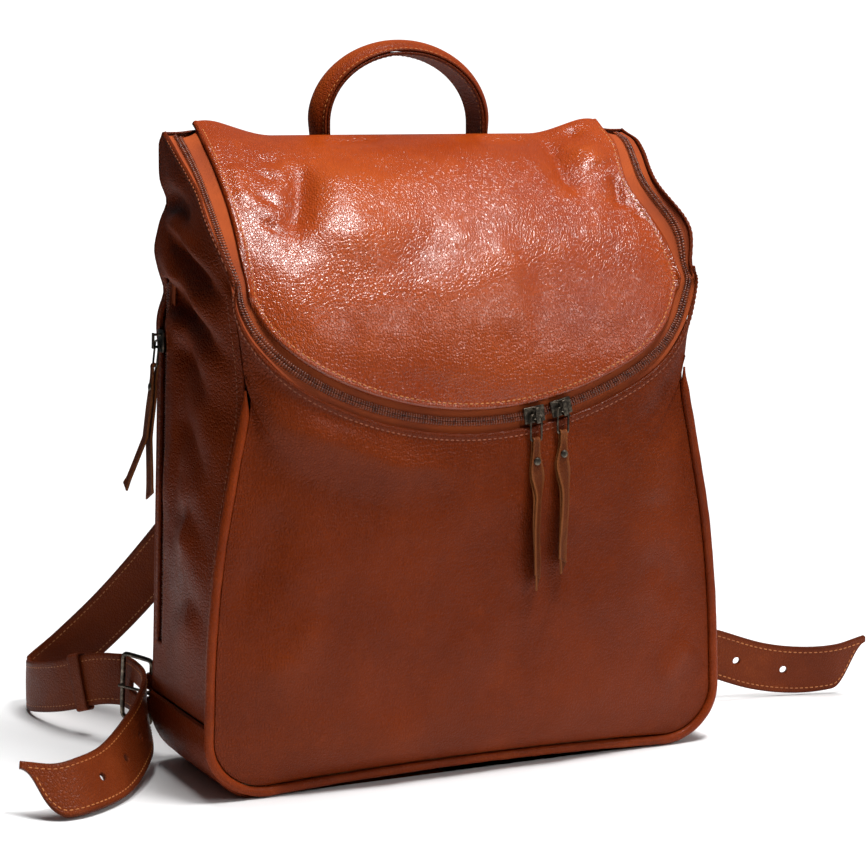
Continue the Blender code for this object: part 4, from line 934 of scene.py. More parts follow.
SIDE_FOLDS = (
    (((0.040, 0.318), (0.010, 0.307), (-0.018, 0.294), (-0.042, 0.283)), 0.0068, -0.0075),
    (((0.043, 0.283), (0.014, 0.274), (-0.014, 0.264), (-0.038, 0.249)), 0.0066, -0.0068),
    (((0.044, 0.338), (0.018, 0.334), (-0.006, 0.322)), 0.0060, -0.0040),
    (((0.040, 0.301), (0.005, 0.290), (-0.030, 0.270)), 0.0078, 0.0032),
    (((0.042, 0.325), (0.008, 0.318), (-0.030, 0.302)), 0.0060, 0.0026),
    (((0.026, 0.255), (0.002, 0.243), (-0.026, 0.222)), 0.0080, -0.0040),
    (((0.022, 0.215), (-0.004, 0.200), (-0.030, 0.176)), 0.0105, -0.0034),
    (((0.018, 0.150), (-0.008, 0.160), (-0.034, 0.140)), 0.0100, -0.0028),
    (((0.020, 0.096), (-0.014, 0.112), (-0.040, 0.100)), 0.0120, -0.0026),
    (((0.006, 0.180), (-0.012, 0.130)), 0.0140, 0.0024),
)


def front_spot(x, z):
    """Point of the front panel over (x, z)."""
    return (x, FRONT_Y - FRONT_BULGE * (1 - abs(x / 0.155) ** 2.6), z)


def leather_panels():
    u, v = clustered(150, -1, 1)[None, :], clustered(140)[:, None]
    folds = [(on_panel(lid_point, line), width, depth) for line, width, depth in LID_FOLDS]
    lid = panel("lid", lid_point(u, v), "lid", folds, "tlr", flip=True, rumple=1.0, seed=11,
                seam_at=STITCH_INSET)
    attach(lid, "lid", ["lid_panel"])
    folds = [([front_spot(x, z) for x, z in line], width, depth) for line, width, depth in FRONT_FOLDS]
    v = clustered(150)[:, None] ** 1.2
    front = panel("front", front_point(u, v), "body", folds, "t", rumple=0.9, seed=21,
                  seam_at=STITCH_INSET)
    attach(front, "bag", ["front_panel"])
    for side, sign in SIDES:
        folds = []
        lowered, share = (0.0, 1.0) if sign < 0 else (0.004, 0.35)
        for line, width, depth in SIDE_FOLDS:
            where = [(sign * float(side_x((y - FRONT_Y) / 0.1, np.array(z))), y, z - lowered)
                     for y, z in line]
            folds.append((where, width, share * depth))
        u, v = clustered(64)[None, :], clustered(150)[:, None]
        made = panel(f"side_{side}", squeezed(side_point(sign, u, v)), "body", folds, "t",
                     flip=sign < 0, rumple=1.0, seed=31 + sign, seam_at=STITCH_INSET)
        if sign < 0:
            low, high = rear_zip_ends()
            size = np.array((0.03, BACK_SLOT, high[2] - low[2]))
            cut(made, box_piece("slot", size, (low + high) / 2, np.eye(3)))
        attach(made, "bag", [f"side_panel_{side}"])
    u, v = clustered(110, -1, 1)[None, :], clustered(110)[:, None]
    folds = (([(-0.12, 0.052, 0.10), (-0.06, 0.055, 0.13), (0.02, 0.056, 0.12)], 0.018, -0.0020),
             ([(0.10, 0.052, 0.22), (0.05, 0.055, 0.19), (-0.02, 0.056, 0.20)], 0.018, -0.0018))
    back = panel("back", squeezed(back_point(u, v)), "body", folds, "t", flip=True, rumple=0.7, seed=41,
                 limit=0.003)
    attach(back, "bag", ["back_panel"])


def rear_zip_ends():
    share = (BACK_ZIP_Y - FRONT_Y) / (BACK_Y - FRONT_Y)
    return [np.array([-float(side_x(share, np.array(z))), BACK_ZIP_Y, z]) for z in BACK_ZIP_Z]


def base_piece():
    """Base and lower side band, one strip from side to side, turned up at the rounded corners."""
    angles = np.linspace(0, math.pi / 2, 25)
    rim = [(BASE_HALF, z) for z in np.concatenate([BOOT_TOP - np.array([0, 0.0004, 0.0009, 0.0015, 0.0022]),
                                                  np.linspace(BOOT_TOP - 0.004, CORNER_R, 6)[:-1]])]
    arc = [(BASE_HALF - CORNER_R + CORNER_R * math.cos(a), CORNER_R - CORNER_R * math.sin(a)) for a in angles]
    half = rim + arc + [(x, 0.0) for x in np.linspace(BASE_HALF - CORNER_R, 0.005, 22)[1:]]
    outline = half + [(-x, z) for x, z in reversed(half)]
    depths = lerp(FRONT_Y + PIPE_CLEAR, BACK_Y - SIDE_INSET, clustered(34))
    points = np.array([[(x, y, z) for y in depths] for x, z in outline])
    made = panel("base", points, "body", (), "tb", rumple=0.35, seed=51,
                 roll=0.0006)
    heights = np.array([v.co.z for v in made.data.vertices])
    for vertex, z in zip(made.data.vertices, heights):
        vertex.co.z = max(z, 0.0)
    attach(made, "bag", ["base_panel"])


leather_panels()
base_piece()

# ---------------------------------------------------------------- seams of the panels

def offset_edges(s_values, distance, lid_side):
    """Points beside the zip, a distance inside the lid's or the body's leather edge."""
    lid, body, _ = zip_edges(s_values)
    across = unit(body - lid)
    return lid - across * distance if lid_side else body + across * distance


def seam_on(name, path):
    tree = SURFACES[name]
    points, normals = laid_on(tree, path)
    centre = np.array([0.0, 0.0, 0.20])
    normals *= np.sign(((points - centre) * normals).sum(axis=1, keepdims=True))
    return points, normals


def panel_seams():
    s = np.linspace(-0.975, 0.975, 500)
    lid_path = offset_edges(s, STITCH_INSET, True)
    stitches("lid_stitches", [seam_on("lid", lid_path)], "bright_thread", "lid", 1.05)
    front = s[np.abs(s) <= ZIP_FRONT_SHARE - 0.004]
    runs = [seam_on("front", offset_edges(front, STITCH_INSET, False))]
    for side, sign in SIDES:
        up = s[sign * s > ZIP_FRONT_SHARE + 0.004]
        runs.append(seam_on(f"side_{side}", offset_edges(up, STITCH_INSET, False)))
    stitches("body_stitches", runs, "brown_thread", "bag", 0.95)
    runs = []
    for side, sign in SIDES:
        z = np.linspace(BOOT_TOP + 0.004, 0.288, 160)
        y = np.full_like(z, FRONT_Y + 0.0075)
        path = np.stack([sign * side_x((y - FRONT_Y) / 0.1, z), y, z], axis=1)
        runs.append(seam_on(f"side_{side}", path))
        y = np.linspace(FRONT_Y + 0.0065, BACK_Y - 0.0060, 70)
        path = np.stack([np.full_like(y, sign * BASE_HALF), y, np.full_like(y, BOOT_TOP - 0.0034)], axis=1)
        runs.append(seam_on("base", path))
    stitches("side_stitches", runs, "brown_thread", "bag", 0.9)
    z = np.linspace(BACK_ZIP_Z[0] - 0.003, BACK_ZIP_Z[1] + 0.003, 120)
    runs = []
    for step in (-1, 1):
        y = np.full_like(z, BACK_ZIP_Y + step * (BACK_SLOT / 2 + 0.0024))
        runs.append(seam_on("side_left", np.stack([-side_x((y - FRONT_Y) / 0.1, z), y, z], axis=1)))
    stitches("back_zip_stitches", runs, "brown_thread", "bag", 0.85)


panel_seams()


# ---------------------------------------------------------------- piping

def piping():
    side = [(float(front_half(z)), FRONT_Y, z) for z in np.linspace(PIPE_TOP + 0.011, CORNER_R + 0.004, 94)]
    corner = [(BASE_HALF - CORNER_R + CORNER_R * math.sin(a), FRONT_Y,
               CORNER_R - (CORNER_R - PIPE_LOW) * math.cos(a)) for a in np.radians(np.linspace(90, 0, 26))]
    flat = BASE_HALF - CORNER_R
    bottom = [(x, FRONT_Y, PIPE_LOW + ARCH * (1 - (x / flat) ** 2)) for x in np.linspace(flat, 0, 50)[1:-1]]
    half = side + corner + bottom
    path = np.array(half + [(0.0, FRONT_Y, PIPE_LOW + ARCH)] + [(-x, y, z) for x, y, z in reversed(half)])
    path = resample(path, np.linspace(0, lengths(path)[-1], 420))
    _, across, outward = frames(path, np.tile([0.0, -1.0, 0.0], (len(path), 1)))
    ends = np.minimum(lengths(path), lengths(path)[-1] - lengths(path))
    lumps = 1 + 0.05 * noise(path, 0.009, 61) + 0.03 * noise(path, 0.004, 62)
    scale = np.minimum((0.25 + 0.75 * smooth(ends / 0.016)) * lumps, 1.04)
    made = sweep("piping", path, across, outward, round_profile(PIPE_R, 14), "trim", scale=scale)
    attach(made, "bag", ["piping_front"])


piping()


# ---------------------------------------------------------------- zips

# how far the tapes reach past the leather edges: at the front, and at the sides (body: stops short)
TAPE_FRONT, LID_TAPE_SIDE, BODY_TAPE_SIDE, TAPE_LIFT = 0.0035, 0.0024, -0.0012, 0.0013


def under_leather(s):
    """1 at the front of the zip, 0 at the sides."""
    return 1 - smooth((np.abs(s) - 0.36) / 0.16)


def softened(values, reach):
    """Running mean over 2 reach + 1 samples; the ends stay where they are."""
    before = 2 * values[0] - values[reach:0:-1]
    after = 2 * values[-1] - values[-2:-reach - 2:-1]
    padded = np.concatenate([before, values, after])
    return np.mean([padded[k:k + len(values)] for k in range(2 * reach + 1)], axis=0)


def zip_line(end, count=420):
    """Centre, across and outward directions of the tape along the main zip."""
    s = np.linspace(-BODY_ZIP_END, BODY_ZIP_END, count)
    lid, body, along = zip_edges(s)
    at_side = smooth((np.abs(s) - 0.60) / 0.16)
    reach = count // 70
    centre = softened(lerp(lid, body, (0.5 + 0.10 * at_side)[:, None]), reach)
    across = unit(softened(unit(body - lid), reach))
    outward = unit(softened(unit(np.cross(across, unit(np.gradient(centre, axis=0)))), reach))
    middle = centre - outward * (TAPE_DEPTH + 0.0008 * smooth(along / 0.15))[:, None]
    halves = np.stack([np.linalg.norm(edge - centre, axis=1) for edge in (lid, body)])
    kept = np.abs(s) <= end
    return middle[kept], across[kept], outward[kept], halves[:, kept], s[kept]


def ribbon(name, node, body, end, near, far, inner_share):
    """Half of the zip tape; at the sides of the bag its outer part rises towards the leather."""
    middle, across, outward, halves, s = zip_line(end)
    a, b = near(halves[0], s), far(halves[1], s)
    steps = np.linspace(0, 1, 9)
    lift = 0.00012 * noise(middle, 0.012, 71)
    rows = []
    at_side = 1 - under_leather(s)
    for share, top in [(t, True) for t in steps] + [(t, False) for t in steps[::-1]]:
        outer = abs(share - inner_share)
        height = (-0.00005 if top else -TAPE_T) + TAPE_LIFT * at_side * smooth((outer - 0.45) / 0.5)
        rows.append(middle + across * lerp(a, b, share)[:, None] + outward * (height + lift)[:, None])
    points = np.stack(rows, axis=1)
    made = mesh_piece(name, points, tube_faces(len(s), len(rows)), "tape")
    attach(face_outward(made), body, [node])


def coil(name, node, body, middle, across, outward, side, pitch=0.0016, phase=0.0):
    """Row of moulded coil loops beside the centre line, each one a short arched rod."""
    total = lengths(middle)[-1]
    at = (np.arange(int(total / pitch) - 1) + 0.5 + phase) * pitch
    spots = resample(np.hstack([middle, across, outward]), at)
    place, wide, up = spots[:, :3], unit(spots[:, 3:6]), unit(spots[:, 6:])
    along = np.cross(wide, up)
    arch = np.array([(COIL_W, 0.0008), (COIL_W * 0.86, 0.00125), (COIL_W * 0.5, 0.00142),
                     (COIL_W * 0.16, 0.00132), (-0.00005, 0.00095)])
    section = round_profile(0.00052, 6)
    grow = np.array([0.55, 0.95, 1.0, 1.0, 0.7])
    lean = 0.00022
    rings = []
    for (a, h), size in zip(arch, grow):
        centre = place + wide * side * a + up * h + along * lean * (a / COIL_W - 0.5)
        ring = centre[:, None] + along[:, None] * section[None, :, :1] * size
        rings.append(ring + up[:, None] * section[None, :, 1:] * size * 0.75)
    points = np.stack(rings, axis=1).reshape(-1, 3)
    pattern = tube_faces(len(arch), 6)
    block = len(arch) * 6
    faces = [tuple(i * block + k for k in face) for i in range(len(at)) for face in pattern]
    made = face_outward(mesh_piece(name, points, faces, "coil"))
    attach(made, body, [node])


def zips():
    gap = 0.00015
    ribbon("tape_lid", "zip_tape_lid", "lid", LID_ZIP_END,
           lambda half, s: -half - TAPE_FRONT * under_leather(s) - LID_TAPE_SIDE * (1 - under_leather(s)),
           lambda half, s: np.full_like(half, -gap), 1.0)
    ribbon("tape_body", "zip_tape_body", "bag", BODY_ZIP_END, lambda half, s: np.full_like(half, gap),
           lambda half, s: half + TAPE_FRONT * under_leather(s) + BODY_TAPE_SIDE * (1 - under_leather(s)),
           0.0)
    for name, node, body, end, side, phase in (("coil_lid", "zip_coil_lid", "lid", LID_ZIP_END, -1, 0.0),
                                               ("coil_body", "zip_coil_body", "bag", BODY_ZIP_END, 1, 0.5)):
        middle, across, outward, _, _ = zip_line(end, 700)
        coil(name, node, body, middle, across, outward, side, phase=phase)
    low, high = rear_zip_ends()
    up = unit(high - low)
    out = unit(np.cross(up, [0.0, 1.0, 0.0]))
    out = out if out[0] < 0 else -out
    across = np.cross(up, out)
    steps = np.linspace(0, 1, 60)[:, None]
    sunk = out * (LEATHER + 0.0019)
    path = lerp(low - up * 0.004 - sunk, high + up * 0.004 - sunk, steps)
    across, out = np.tile(across, (60, 1)), np.tile(out, (60, 1))
    profile, _ = strip_profile(0.0140, TAPE_T, 0.0003)
    made = sweep("back_tape", path, across, out, [(x, y - TAPE_T / 2) for x, y in profile], "tape")
    attach(made, "bag", ["back_zip_tape"])
    path = lerp(low + up * 0.001, high - up * 0.001, steps) - out * 0.0032
    for number, side in enumerate((-1, 1)):
        coil(f"back_coil_{number}", "back_zip_coil", "bag", path, across, out, side, phase=0.5 * number)


zips()


# ---------------------------------------------------------------- metal parts and pulls

def polish(node, rounding, levels=0):
    """Round a CAD metal part's edges and give it its finish."""
    made = frame["nodes"][node]
    weld = made.modifiers.new("Weld", "WELD")
    weld.merge_threshold = 0.00002
    if levels:
        soften = made.modifiers.new("Subdivision", "SUBSURF")
        soften.levels = soften.render_levels = levels
    else:
        bevel = made.modifiers.new("Bevel", "BEVEL")
        bevel.width = rounding
        bevel.segments = 2
        bevel.limit_method = "ANGLE"
        bevel.angle_limit = math.radians(38)
    if made.data.has_custom_normals:
        made.data.attributes.remove(made.data.attributes["custom_normal"])
    made.data.polygons.foreach_set("use_smooth", [True] * len(made.data.polygons))
    for slot in made.material_slots:
        slot.material = SKINS["brass"]


for rounding, levels, nodes in (
        (0.00028, 0, ("zip_slider_left", "zip_slider_right", "back_zip_slider")),
        (0.00012, 0, ("buckle_prong_left", "buckle_prong_right")),
        (0.00010, 0, ("zip_tab_rivet_left", "zip_tab_rivet_right", "back_zip_rivet")),
        (0.0, 2, ("zip_pull_wire_left", "zip_pull_wire_right", "back_zip_wire", "strap_buckle_left",
                  "strap_buckle_right"))):
    for node in nodes:
        polish(node, rounding, levels)
for slot in frame["nodes"]["base_board"].material_slots:
    slot.material = SKINS["board"]


def joint_at(name):
    found = [joint for joint in frame["joints"] if joint["name"] == name][0]
    return np.array(found["pos_m"], float)


def pull_tab(name, node, body, pin, turn, length, splay=0.0, twist=0.0, seed=81):
    """Leather strip folded over the wire, its two raw-edged ends hanging side by side."""
    thick, gap, ring = 0.0012, 0.0009, 0.0017
    leg = (gap + thick) / 2
    keys = [(0.0, leg + splay * 0.4, -length), (0.0, leg, -length * 0.55), (0.0, leg, -0.0070)]
    for angle in (-35, 0, 45, 90, 135, 180, 215):
        keys.append((0.0, ring * math.cos(math.radians(angle)), ring * math.sin(math.radians(angle))))
    keys += [(0.0, -leg, -0.0070), (0.0, -leg, -length * 0.55), (0.0, -leg - splay, -length * 0.94)]
    path = np.array(keys)
    path = resample(path, np.linspace(0, lengths(path)[-1], 120))
    tangent = unit(np.gradient(path, axis=0))
    outward = np.cross(np.tile([1.0, 0.0, 0.0], (len(path), 1)), tangent)
    down = smooth((-path[:, 2] - 0.004) / 0.018)
    width = (0.0044 + 0.0046 * down) / 0.0090
    width = width * (1 + 0.05 * noise(path, 0.010, seed))
    profile, wear = strip_profile(0.0090, thick * 0.96, 0.00035)
    profile = np.array(profile)
    rows = []
    for i in range(len(path)):
        first_leg = i < len(path) // 2
        hang = down[i] * (-path[i, 2] / length)
        free = float(smooth((-path[i, 2] - 0.0155) / 0.020))
        sway = (0.0012 if first_leg else -0.0014) * hang ** 2 + 0.0005 * math.sin(9 * hang + seed)
        turned = math.radians(twist * free + (5.0 if first_leg else -4.0) * hang)
        across = np.array([math.cos(turned), math.sin(turned), 0.0])
        ring_points = np.array([0, 0, path[i, 2]]) + across * profile[:, :1] * width[i]
        if free > 0:
            normal = np.array([-math.sin(turned), math.cos(turned), 0.0])
            facing = normal * np.sign(outward[i][1])
            ring_points = ring_points + normal * path[i, 1]
        else:
            facing = outward[i]
            ring_points = ring_points + np.array([0, path[i, 1], 0])
        ring_points = ring_points + facing * profile[:, 1:]
        ring_points = ring_points + np.array([sway, -0.0024 * free * math.sin(math.radians(twist)), 0])
        tip = 1 - smooth(min(i, len(path) - 1 - i) / 5)
        ring_points[:, 2] += tip * profile[:, 0] * (0.55 if first_leg else -0.4) * 1.1
        rows.append(ring_points)
    local = np.array(rows)
    points = np.asarray(pin) + local.reshape(-1, 3) @ np.asarray(turn, float).T
    marks = {"ridge": np.tile(wear, (len(path), 1))}
    made = face_outward(mesh_piece(name, points, tube_faces(len(path), len(profile)), "tab", marks))
    start, end = [np.asarray(pin) + np.asarray(turn) @ np.array([0, y, -0.0120]) for y in (-0.006, 0.006)]
    cut(made, rod(name + "_hole", 0.0015, start, end))
    attach(made, body, [node])


def turn_about(axis, degrees):
    return np.array(Matrix.Rotation(math.radians(degrees), 3, axis))


def pulls():
    for side, twist, seed in (("left", 48.0, 81), ("right", 40.0, 85)):
        pin = joint_at(f"tab_{side}_swing")
        length = pin[2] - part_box(f"zip_pull_tab_{side}")[0].z
        pull_tab(f"tab_{side}", f"zip_pull_tab_{side}", f"tab_{side}", pin, np.eye(3), length,
                 twist=twist, seed=seed)
    level = turn_about("Z", -90) @ turn_about("X", -7.0)
    pull_tab("tab_rear", "back_zip_tab", "back_tab", joint_at("back_tab_swing"), level, 0.076,
             splay=0.0090, seed=88)


pulls()


# ---------------------------------------------------------------- handle

def handle_path(offset, count=130):
    rise = HANDLE_TOP_Z - 0.0050 - HANDLE_FOOT_Z - 0.022
    path = [(-HANDLE_HALF - offset, HANDLE_Y, HANDLE_FOOT_Z + k * 0.0055) for k in range(4)]
    for angle in np.radians(np.linspace(180, 0, 61)):
        path.append(((HANDLE_HALF + offset) * math.cos(angle), HANDLE_Y,
                     HANDLE_FOOT_Z + 0.022 + (rise + offset) * math.sin(angle)))
    path += [(HANDLE_HALF + offset, HANDLE_Y, HANDLE_FOOT_Z + k * 0.0055) for k in range(3, -1, -1)]
    path = np.array(path) + (HANDLE_X, 0.0, 0.0)
    return resample(path, np.linspace(0, lengths(path)[-1], count))


def handle():
    """Padded upper leather on a flat backing, stitched together along both edges."""
    path = handle_path(0.0)
    across = np.tile([0.0, 1.0, 0.0], (len(path), 1))
    outward = np.cross(across, unit(np.gradient(path, axis=0)))
    if outward[len(path) // 2][2] < 0:
        outward = -outward
    share = lengths(path) / lengths(path)[-1]
    puff = 0.42 + 0.58 * smooth(share / 0.16) * smooth((1 - share) / 0.16)
    half = np.array([(-0.0119, 0.0002), (-0.0119, 0.0011), (-0.0113, 0.0016), (-0.0100, 0.0017),
                     (-0.0088, 0.0022), (-0.0077, 0.0038), (-0.0062, 0.0053), (-0.0042, 0.0063),
                     (-0.0020, 0.0068), (0.0, 0.0070)])
    profile = np.vstack([half, half[:-1][::-1] * (-1, 1), [(x, 0.0) for x in np.linspace(0.008, -0.008, 5)]])
    uneven = 0.010 * noise(path, 0.014, 91)
    rise = np.where(profile[:, 1] > 0.0017, profile[:, 1] - 0.0017, 0.0)
    base = profile[:, 1] - rise
    rows = []
    for i in range(len(path)):
        height = base + rise * (puff[i] + uneven[i])
        rows.append(path[i] + across[i] * profile[:, :1] + outward[i] * height[:, None])
    points = np.array(rows)
    # painted highlight: the top of the padded middle gets the ridge mark, which paints it paler
    wear_and_sheen = np.clip((profile[:, 1] - 0.004) / 0.003, 0, 1)
    marks = {"edge": np.tile(np.where(np.abs(profile[:, 0]) > 0.0112, 0.9, 0.0), (len(path), 1)),
             "ridge": wear_and_sheen[None, :] * smooth((puff - 0.7) / 0.3)[:, None]}
    made = face_outward(mesh_piece("handle_pad", points, tube_faces(len(path), len(profile)), "trim", marks))
    attach(made, "handle", ["handle_top"])
    profile, wear = strip_profile(0.0240, 0.0020, 0.0008)
    under = handle_path(-0.0004)
    lower = [(x, y - 0.0010) for x, y in profile]
    flat = sweep("handle_strap", under, across, outward, lower, "body", edge=wear)
    attach(flat, "handle", ["handle_backing"])
    runs = []
    for y in (-0.0100, 0.0100):
        runs.append((path + across * y + outward * 0.0017, outward))
        runs.append((under + across * y - outward * 0.0020, -outward))
    stitches("handle_stitches", runs, "bright_thread", "handle", 0.9)
    raised = [(x, y + 0.0010) for x, y in profile]
    for side, sign in SIDES:
        x = HANDLE_X + sign * HANDLE_HALF
        wall = float(back_y(x, 0.322)) + 0.0008
        keys = [(wall, 0.318), (wall + 0.0005, 0.334), (wall + 0.0025, 0.344),
                (HANDLE_Y - 0.0060, HANDLE_FOOT_Z - 0.0060), (HANDLE_Y - 0.0018, HANDLE_FOOT_Z - 0.0028)]
        line = spline([(x, y, z) for y, z in keys], 40)
        _, wide, out = frames(line, np.tile([0.0, 0.6, 0.8], (len(line), 1)))
        made = sweep(f"anchor_{side}", line, wide, out, raised, "body", edge=wear)
        attach(made, "bag", [f"handle_anchor_{side}"])
        runs = [(line[2:-2] + wide[2:-2] * y + out[2:-2] * 0.0020, out[2:-2]) for y in (-0.0090, 0.0090)]
        stitches(f"anchor_stitches_{side}", runs, "brown_thread", "bag", 0.9)


handle()


# ---------------------------------------------------------------- shoulder straps

STRAP_KEYS = (
    ((0.034, 0.0592, 0.306), (0.0, 1.0, 0.0)),
    ((0.038, 0.0630, 0.276), (0.05, 1.0, 0.10)),
    ((0.066, 0.0950, 0.215), (-0.10, 0.95, 0.35)),
    ((0.102, 0.1320, 0.140), (-0.35, 0.85, 0.30)),
    ((0.138, 0.1710, 0.078), (-0.50, 0.80, 0.20)),
    ((0.168, 0.2040, 0.036), (-0.30, 0.95, 0.05)),
    ((0.190, 0.2130, 0.0180), (0.45, 0.90, 0.0)),
    ((0.2005, 0.1900, 0.0180), (1.0, 0.20, 0.0)),
    ((0.193, 0.1500, 0.0260), (1.0, -0.20, 0.0)),
    ((0.1775, 0.1170, 0.0365), (1.0, -0.30, 0.0)),
    ((0.1665, 0.1000, 0.0387), (1.0, -0.12, 0.0)),
)
TAIL_KEYS = {
    "left": (
        ((0.1665, 0.0962, 0.0387), (1.0, -0.08, 0.05)),
        ((0.1655, 0.0800, 0.0385), (1.0, -0.02, 0.03)),
        ((0.1660, 0.0620, 0.0365), (1.0, 0.02, -0.03)),
        ((0.1720, 0.0420, 0.0300), (0.90, 0.30, -0.20)),
        ((0.183, 0.0200, 0.0240), (0.75, 0.45, -0.35)),
        ((0.208, -0.0150, 0.0172), (0.62, 0.50, -0.50)),
        ((0.232, -0.0340, 0.0158), (0.40, 0.70, -0.55)),
        ((0.250, -0.0370, 0.0150), (0.05, 0.82, -0.58)),
        ((0.270, -0.0320, 0.0175), (-0.10, 0.80, -0.60)),
    ),
    "right": (
        ((0.1665, 0.0962, 0.0387), (1.0, -0.08, 0.05)),
        ((0.1655, 0.0800, 0.0395), (1.0, 0.0, 0.0)),
        ((0.1665, 0.0640, 0.0405), (1.0, 0.10, 0.0)),
        ((0.1740, 0.0500, 0.0410), (0.80, 0.60, 0.0)),
        ((0.190, 0.0410, 0.0390), (0.45, 0.88, 0.0)),
        ((0.214, 0.0320, 0.0320), (0.35, 0.93, 0.05)),
        ((0.245, 0.0260, 0.0215), (0.22, 0.97, 0.05)),
        ((0.272, 0.0190, 0.0175), (0.25, 0.96, 0.10)),
        ((0.296, 0.0110, 0.0190), (0.10, 0.95, 0.20)),
        ((0.320, 0.0100, 0.0235), (-0.15, 0.95, 0.20)),
    ),
}
HOLE_STEPS = {"left": (0.0200, 0.082, 0.112, 0.142), "right": (0.0200, 0.078, 0.112, 0.146)}
PRONG_SLOT = (0.0190, 0.0140, 0.0064)


def strap_frame(keys, sign, count):
    rows = np.array([tuple(point) + tuple(normal) for point, normal in keys])
    rows[:, [0, 3]] *= sign
    path = spline(rows, count)
    _, across, outward = frames(path[:, :3], path[:, 3:])
    return path[:, :3], across, outward


def shoulder_strap(side, sign):
    path, across, outward = strap_frame(STRAP_KEYS, sign, 220)
    profile, wear = strip_profile(STRAP_W, STRAP_T, 0.0010, 0.0003)
    wave = 0.0005 * noise(path, 0.035, 101)
    body = f"strap_{side}"
    hold = {"to": body, "start": tuple(path[2]), "end": tuple(path[36])}
    waved = path + outward * wave[:, None]
    made = sweep(f"strap_main_{side}", waved, across, outward, profile, "strap", edge=wear)
    attach(made, "bag", [f"shoulder_strap_{side}"], **hold)
    runs = []
    for place in (-1, 1):
        for face in (-1, 1):
            line = path + across * place * (STRAP_W / 2 - 0.0036)
            line = line + outward * (face * STRAP_T / 2 + wave - (0.00018 if face > 0 else 0))[:, None]
            runs.append((line, outward * face))
    stitches(f"strap_stitches_{side}", runs, "bright_thread", "bag", 0.9, **hold)


def strap_tail(side, sign):
    """Punched end of the strap, from the buckle to its slanted tip."""
    count = 150
    path, across, outward = strap_frame(TAIL_KEYS[side], sign, count)
    up = np.sign(across[:, 2])[:, None] * across
    length = lengths(path)
    lower_cut = smooth((length - (length[-1] - 0.026)) / 0.026)
    profile, wear = strip_profile(STRAP_W, STRAP_T, 0.0010)
    profile = np.array(profile)
    rows = []
    for i in range(count):
        low, high = -STRAP_W / 2 + lower_cut[i] * (STRAP_W - 0.004), STRAP_W / 2
        a = lerp(low, high, (profile[:, 0] + STRAP_W / 2) / STRAP_W)
        rows.append(path[i] + up[i] * a[:, None] + outward[i] * profile[:, 1:])
    marks = {"edge": np.tile(wear, (count, 1))}
    made = mesh_piece(f"tail_{side}_strip", np.array(rows), tube_faces(count, len(profile)), "strap", marks)
    face_outward(made)
    for number, step in enumerate(HOLE_STEPS[side]):
        at = at_step(step, length, path)
        out = unit(at_step(step, length, outward))
        if number == 0:
            along = unit(at_step(step + 0.004, length, path) - at)
            turn = np.stack([along, out, np.cross(along, out)], axis=1)
            cut(made, box_piece("punch", np.array(PRONG_SLOT), at, turn))
        else:
            cut(made, rod("punch", HOLE_R, at - out * 0.006, at + out * 0.006))
    attach(made, f"tail_{side}", [f"strap_tail_{side}"])
    runs = []
    inset = STRAP_W / 2 - 0.0036
    whole = length < length[-1] - 0.003
    for face in (-1, 1):
        lift = outward * face * (STRAP_T / 2 - (0.0001 if face > 0 else 0))
        runs.append(((path + up * inset + lift)[whole], (outward * face)[whole]))
        lower = -STRAP_W / 2 + lower_cut * (STRAP_W - 0.004) + 0.0036
        fits = lower < inset - 0.003
        runs.append(((path + up * lower[:, None] + lift)[fits], (outward * face)[fits]))
    stitches(f"tail_stitches_{side}", runs, "bright_thread", f"tail_{side}", 0.9)


def buckle_frame(side, sign):
    path, _, outward = strap_frame(TAIL_KEYS[side], sign, 34)
    length = lengths(path)
    step = HOLE_STEPS[side][0]
    centre = at_step(step, length, path)
    out = unit(at_step(step, length, outward))
    ahead = at_step(step + 0.004, length, path)
    along = unit(ahead - centre)
    up = np.cross(along, out)
    up = unit(up if up[2] > 0 else -up)
    out = unit(np.cross(up, along) if np.dot(np.cross(up, along), out) > 0 else np.cross(along, up))
    tilt = math.radians(BUCKLE_TILT)
    return centre, along * math.cos(tilt) - out * math.sin(tilt), up


def buckle_tab(side, sign):
    """Short strip from the bag's lower rear corner that folds round the buckle's front bar."""
    centre, flat, up = buckle_frame(side, sign)
    bar = centre + flat * BUCKLE_LENGTH / 2
    keys = [np.array(key) for key in ((sign * 0.116, float(back_y(0.116, 0.045)) + 0.0030, 0.0340),
                                      (sign * 0.140, 0.0548, 0.0345), (sign * 0.1500, 0.0580, 0.0350))]
    toward = unit(bar - keys[-1])
    side_way = unit(np.cross(toward, up))
    for angle in np.linspace(-125, 140, 16):
        turn = math.radians(angle)
        keys.append(bar + (toward * math.cos(turn) + side_way * math.sin(turn)) * 0.0027)
    path = np.array(keys)
    path = np.vstack([spline(path[:3], 26), path[3:]])
    across = np.tile(up, (len(path), 1))
    outward = unit(np.cross(unit(np.gradient(path, axis=0)), across))
    profile, wear = strip_profile(0.0240, 0.0014, 0.0006)
    made = sweep(f"buckle_strip_{side}", path, across, outward, profile, "body", edge=wear)
    turn = np.stack([unit(flat), unit(np.cross(up, flat)), up], axis=1)
    cut(made, box_piece("slot", np.array((0.016, 0.016, 0.0060)), bar, turn))
    attach(made, "bag", [f"buckle_tab_{side}"])
    runs = []
    for face in (-1, 1):
        for y in (-0.0088, 0.0088):
            runs.append(((path + across * y + outward * face * 0.0007)[1:26], (outward * face)[1:26]))
    stitches(f"buckle_stitches_{side}", runs, "brown_thread", "bag", 0.8)


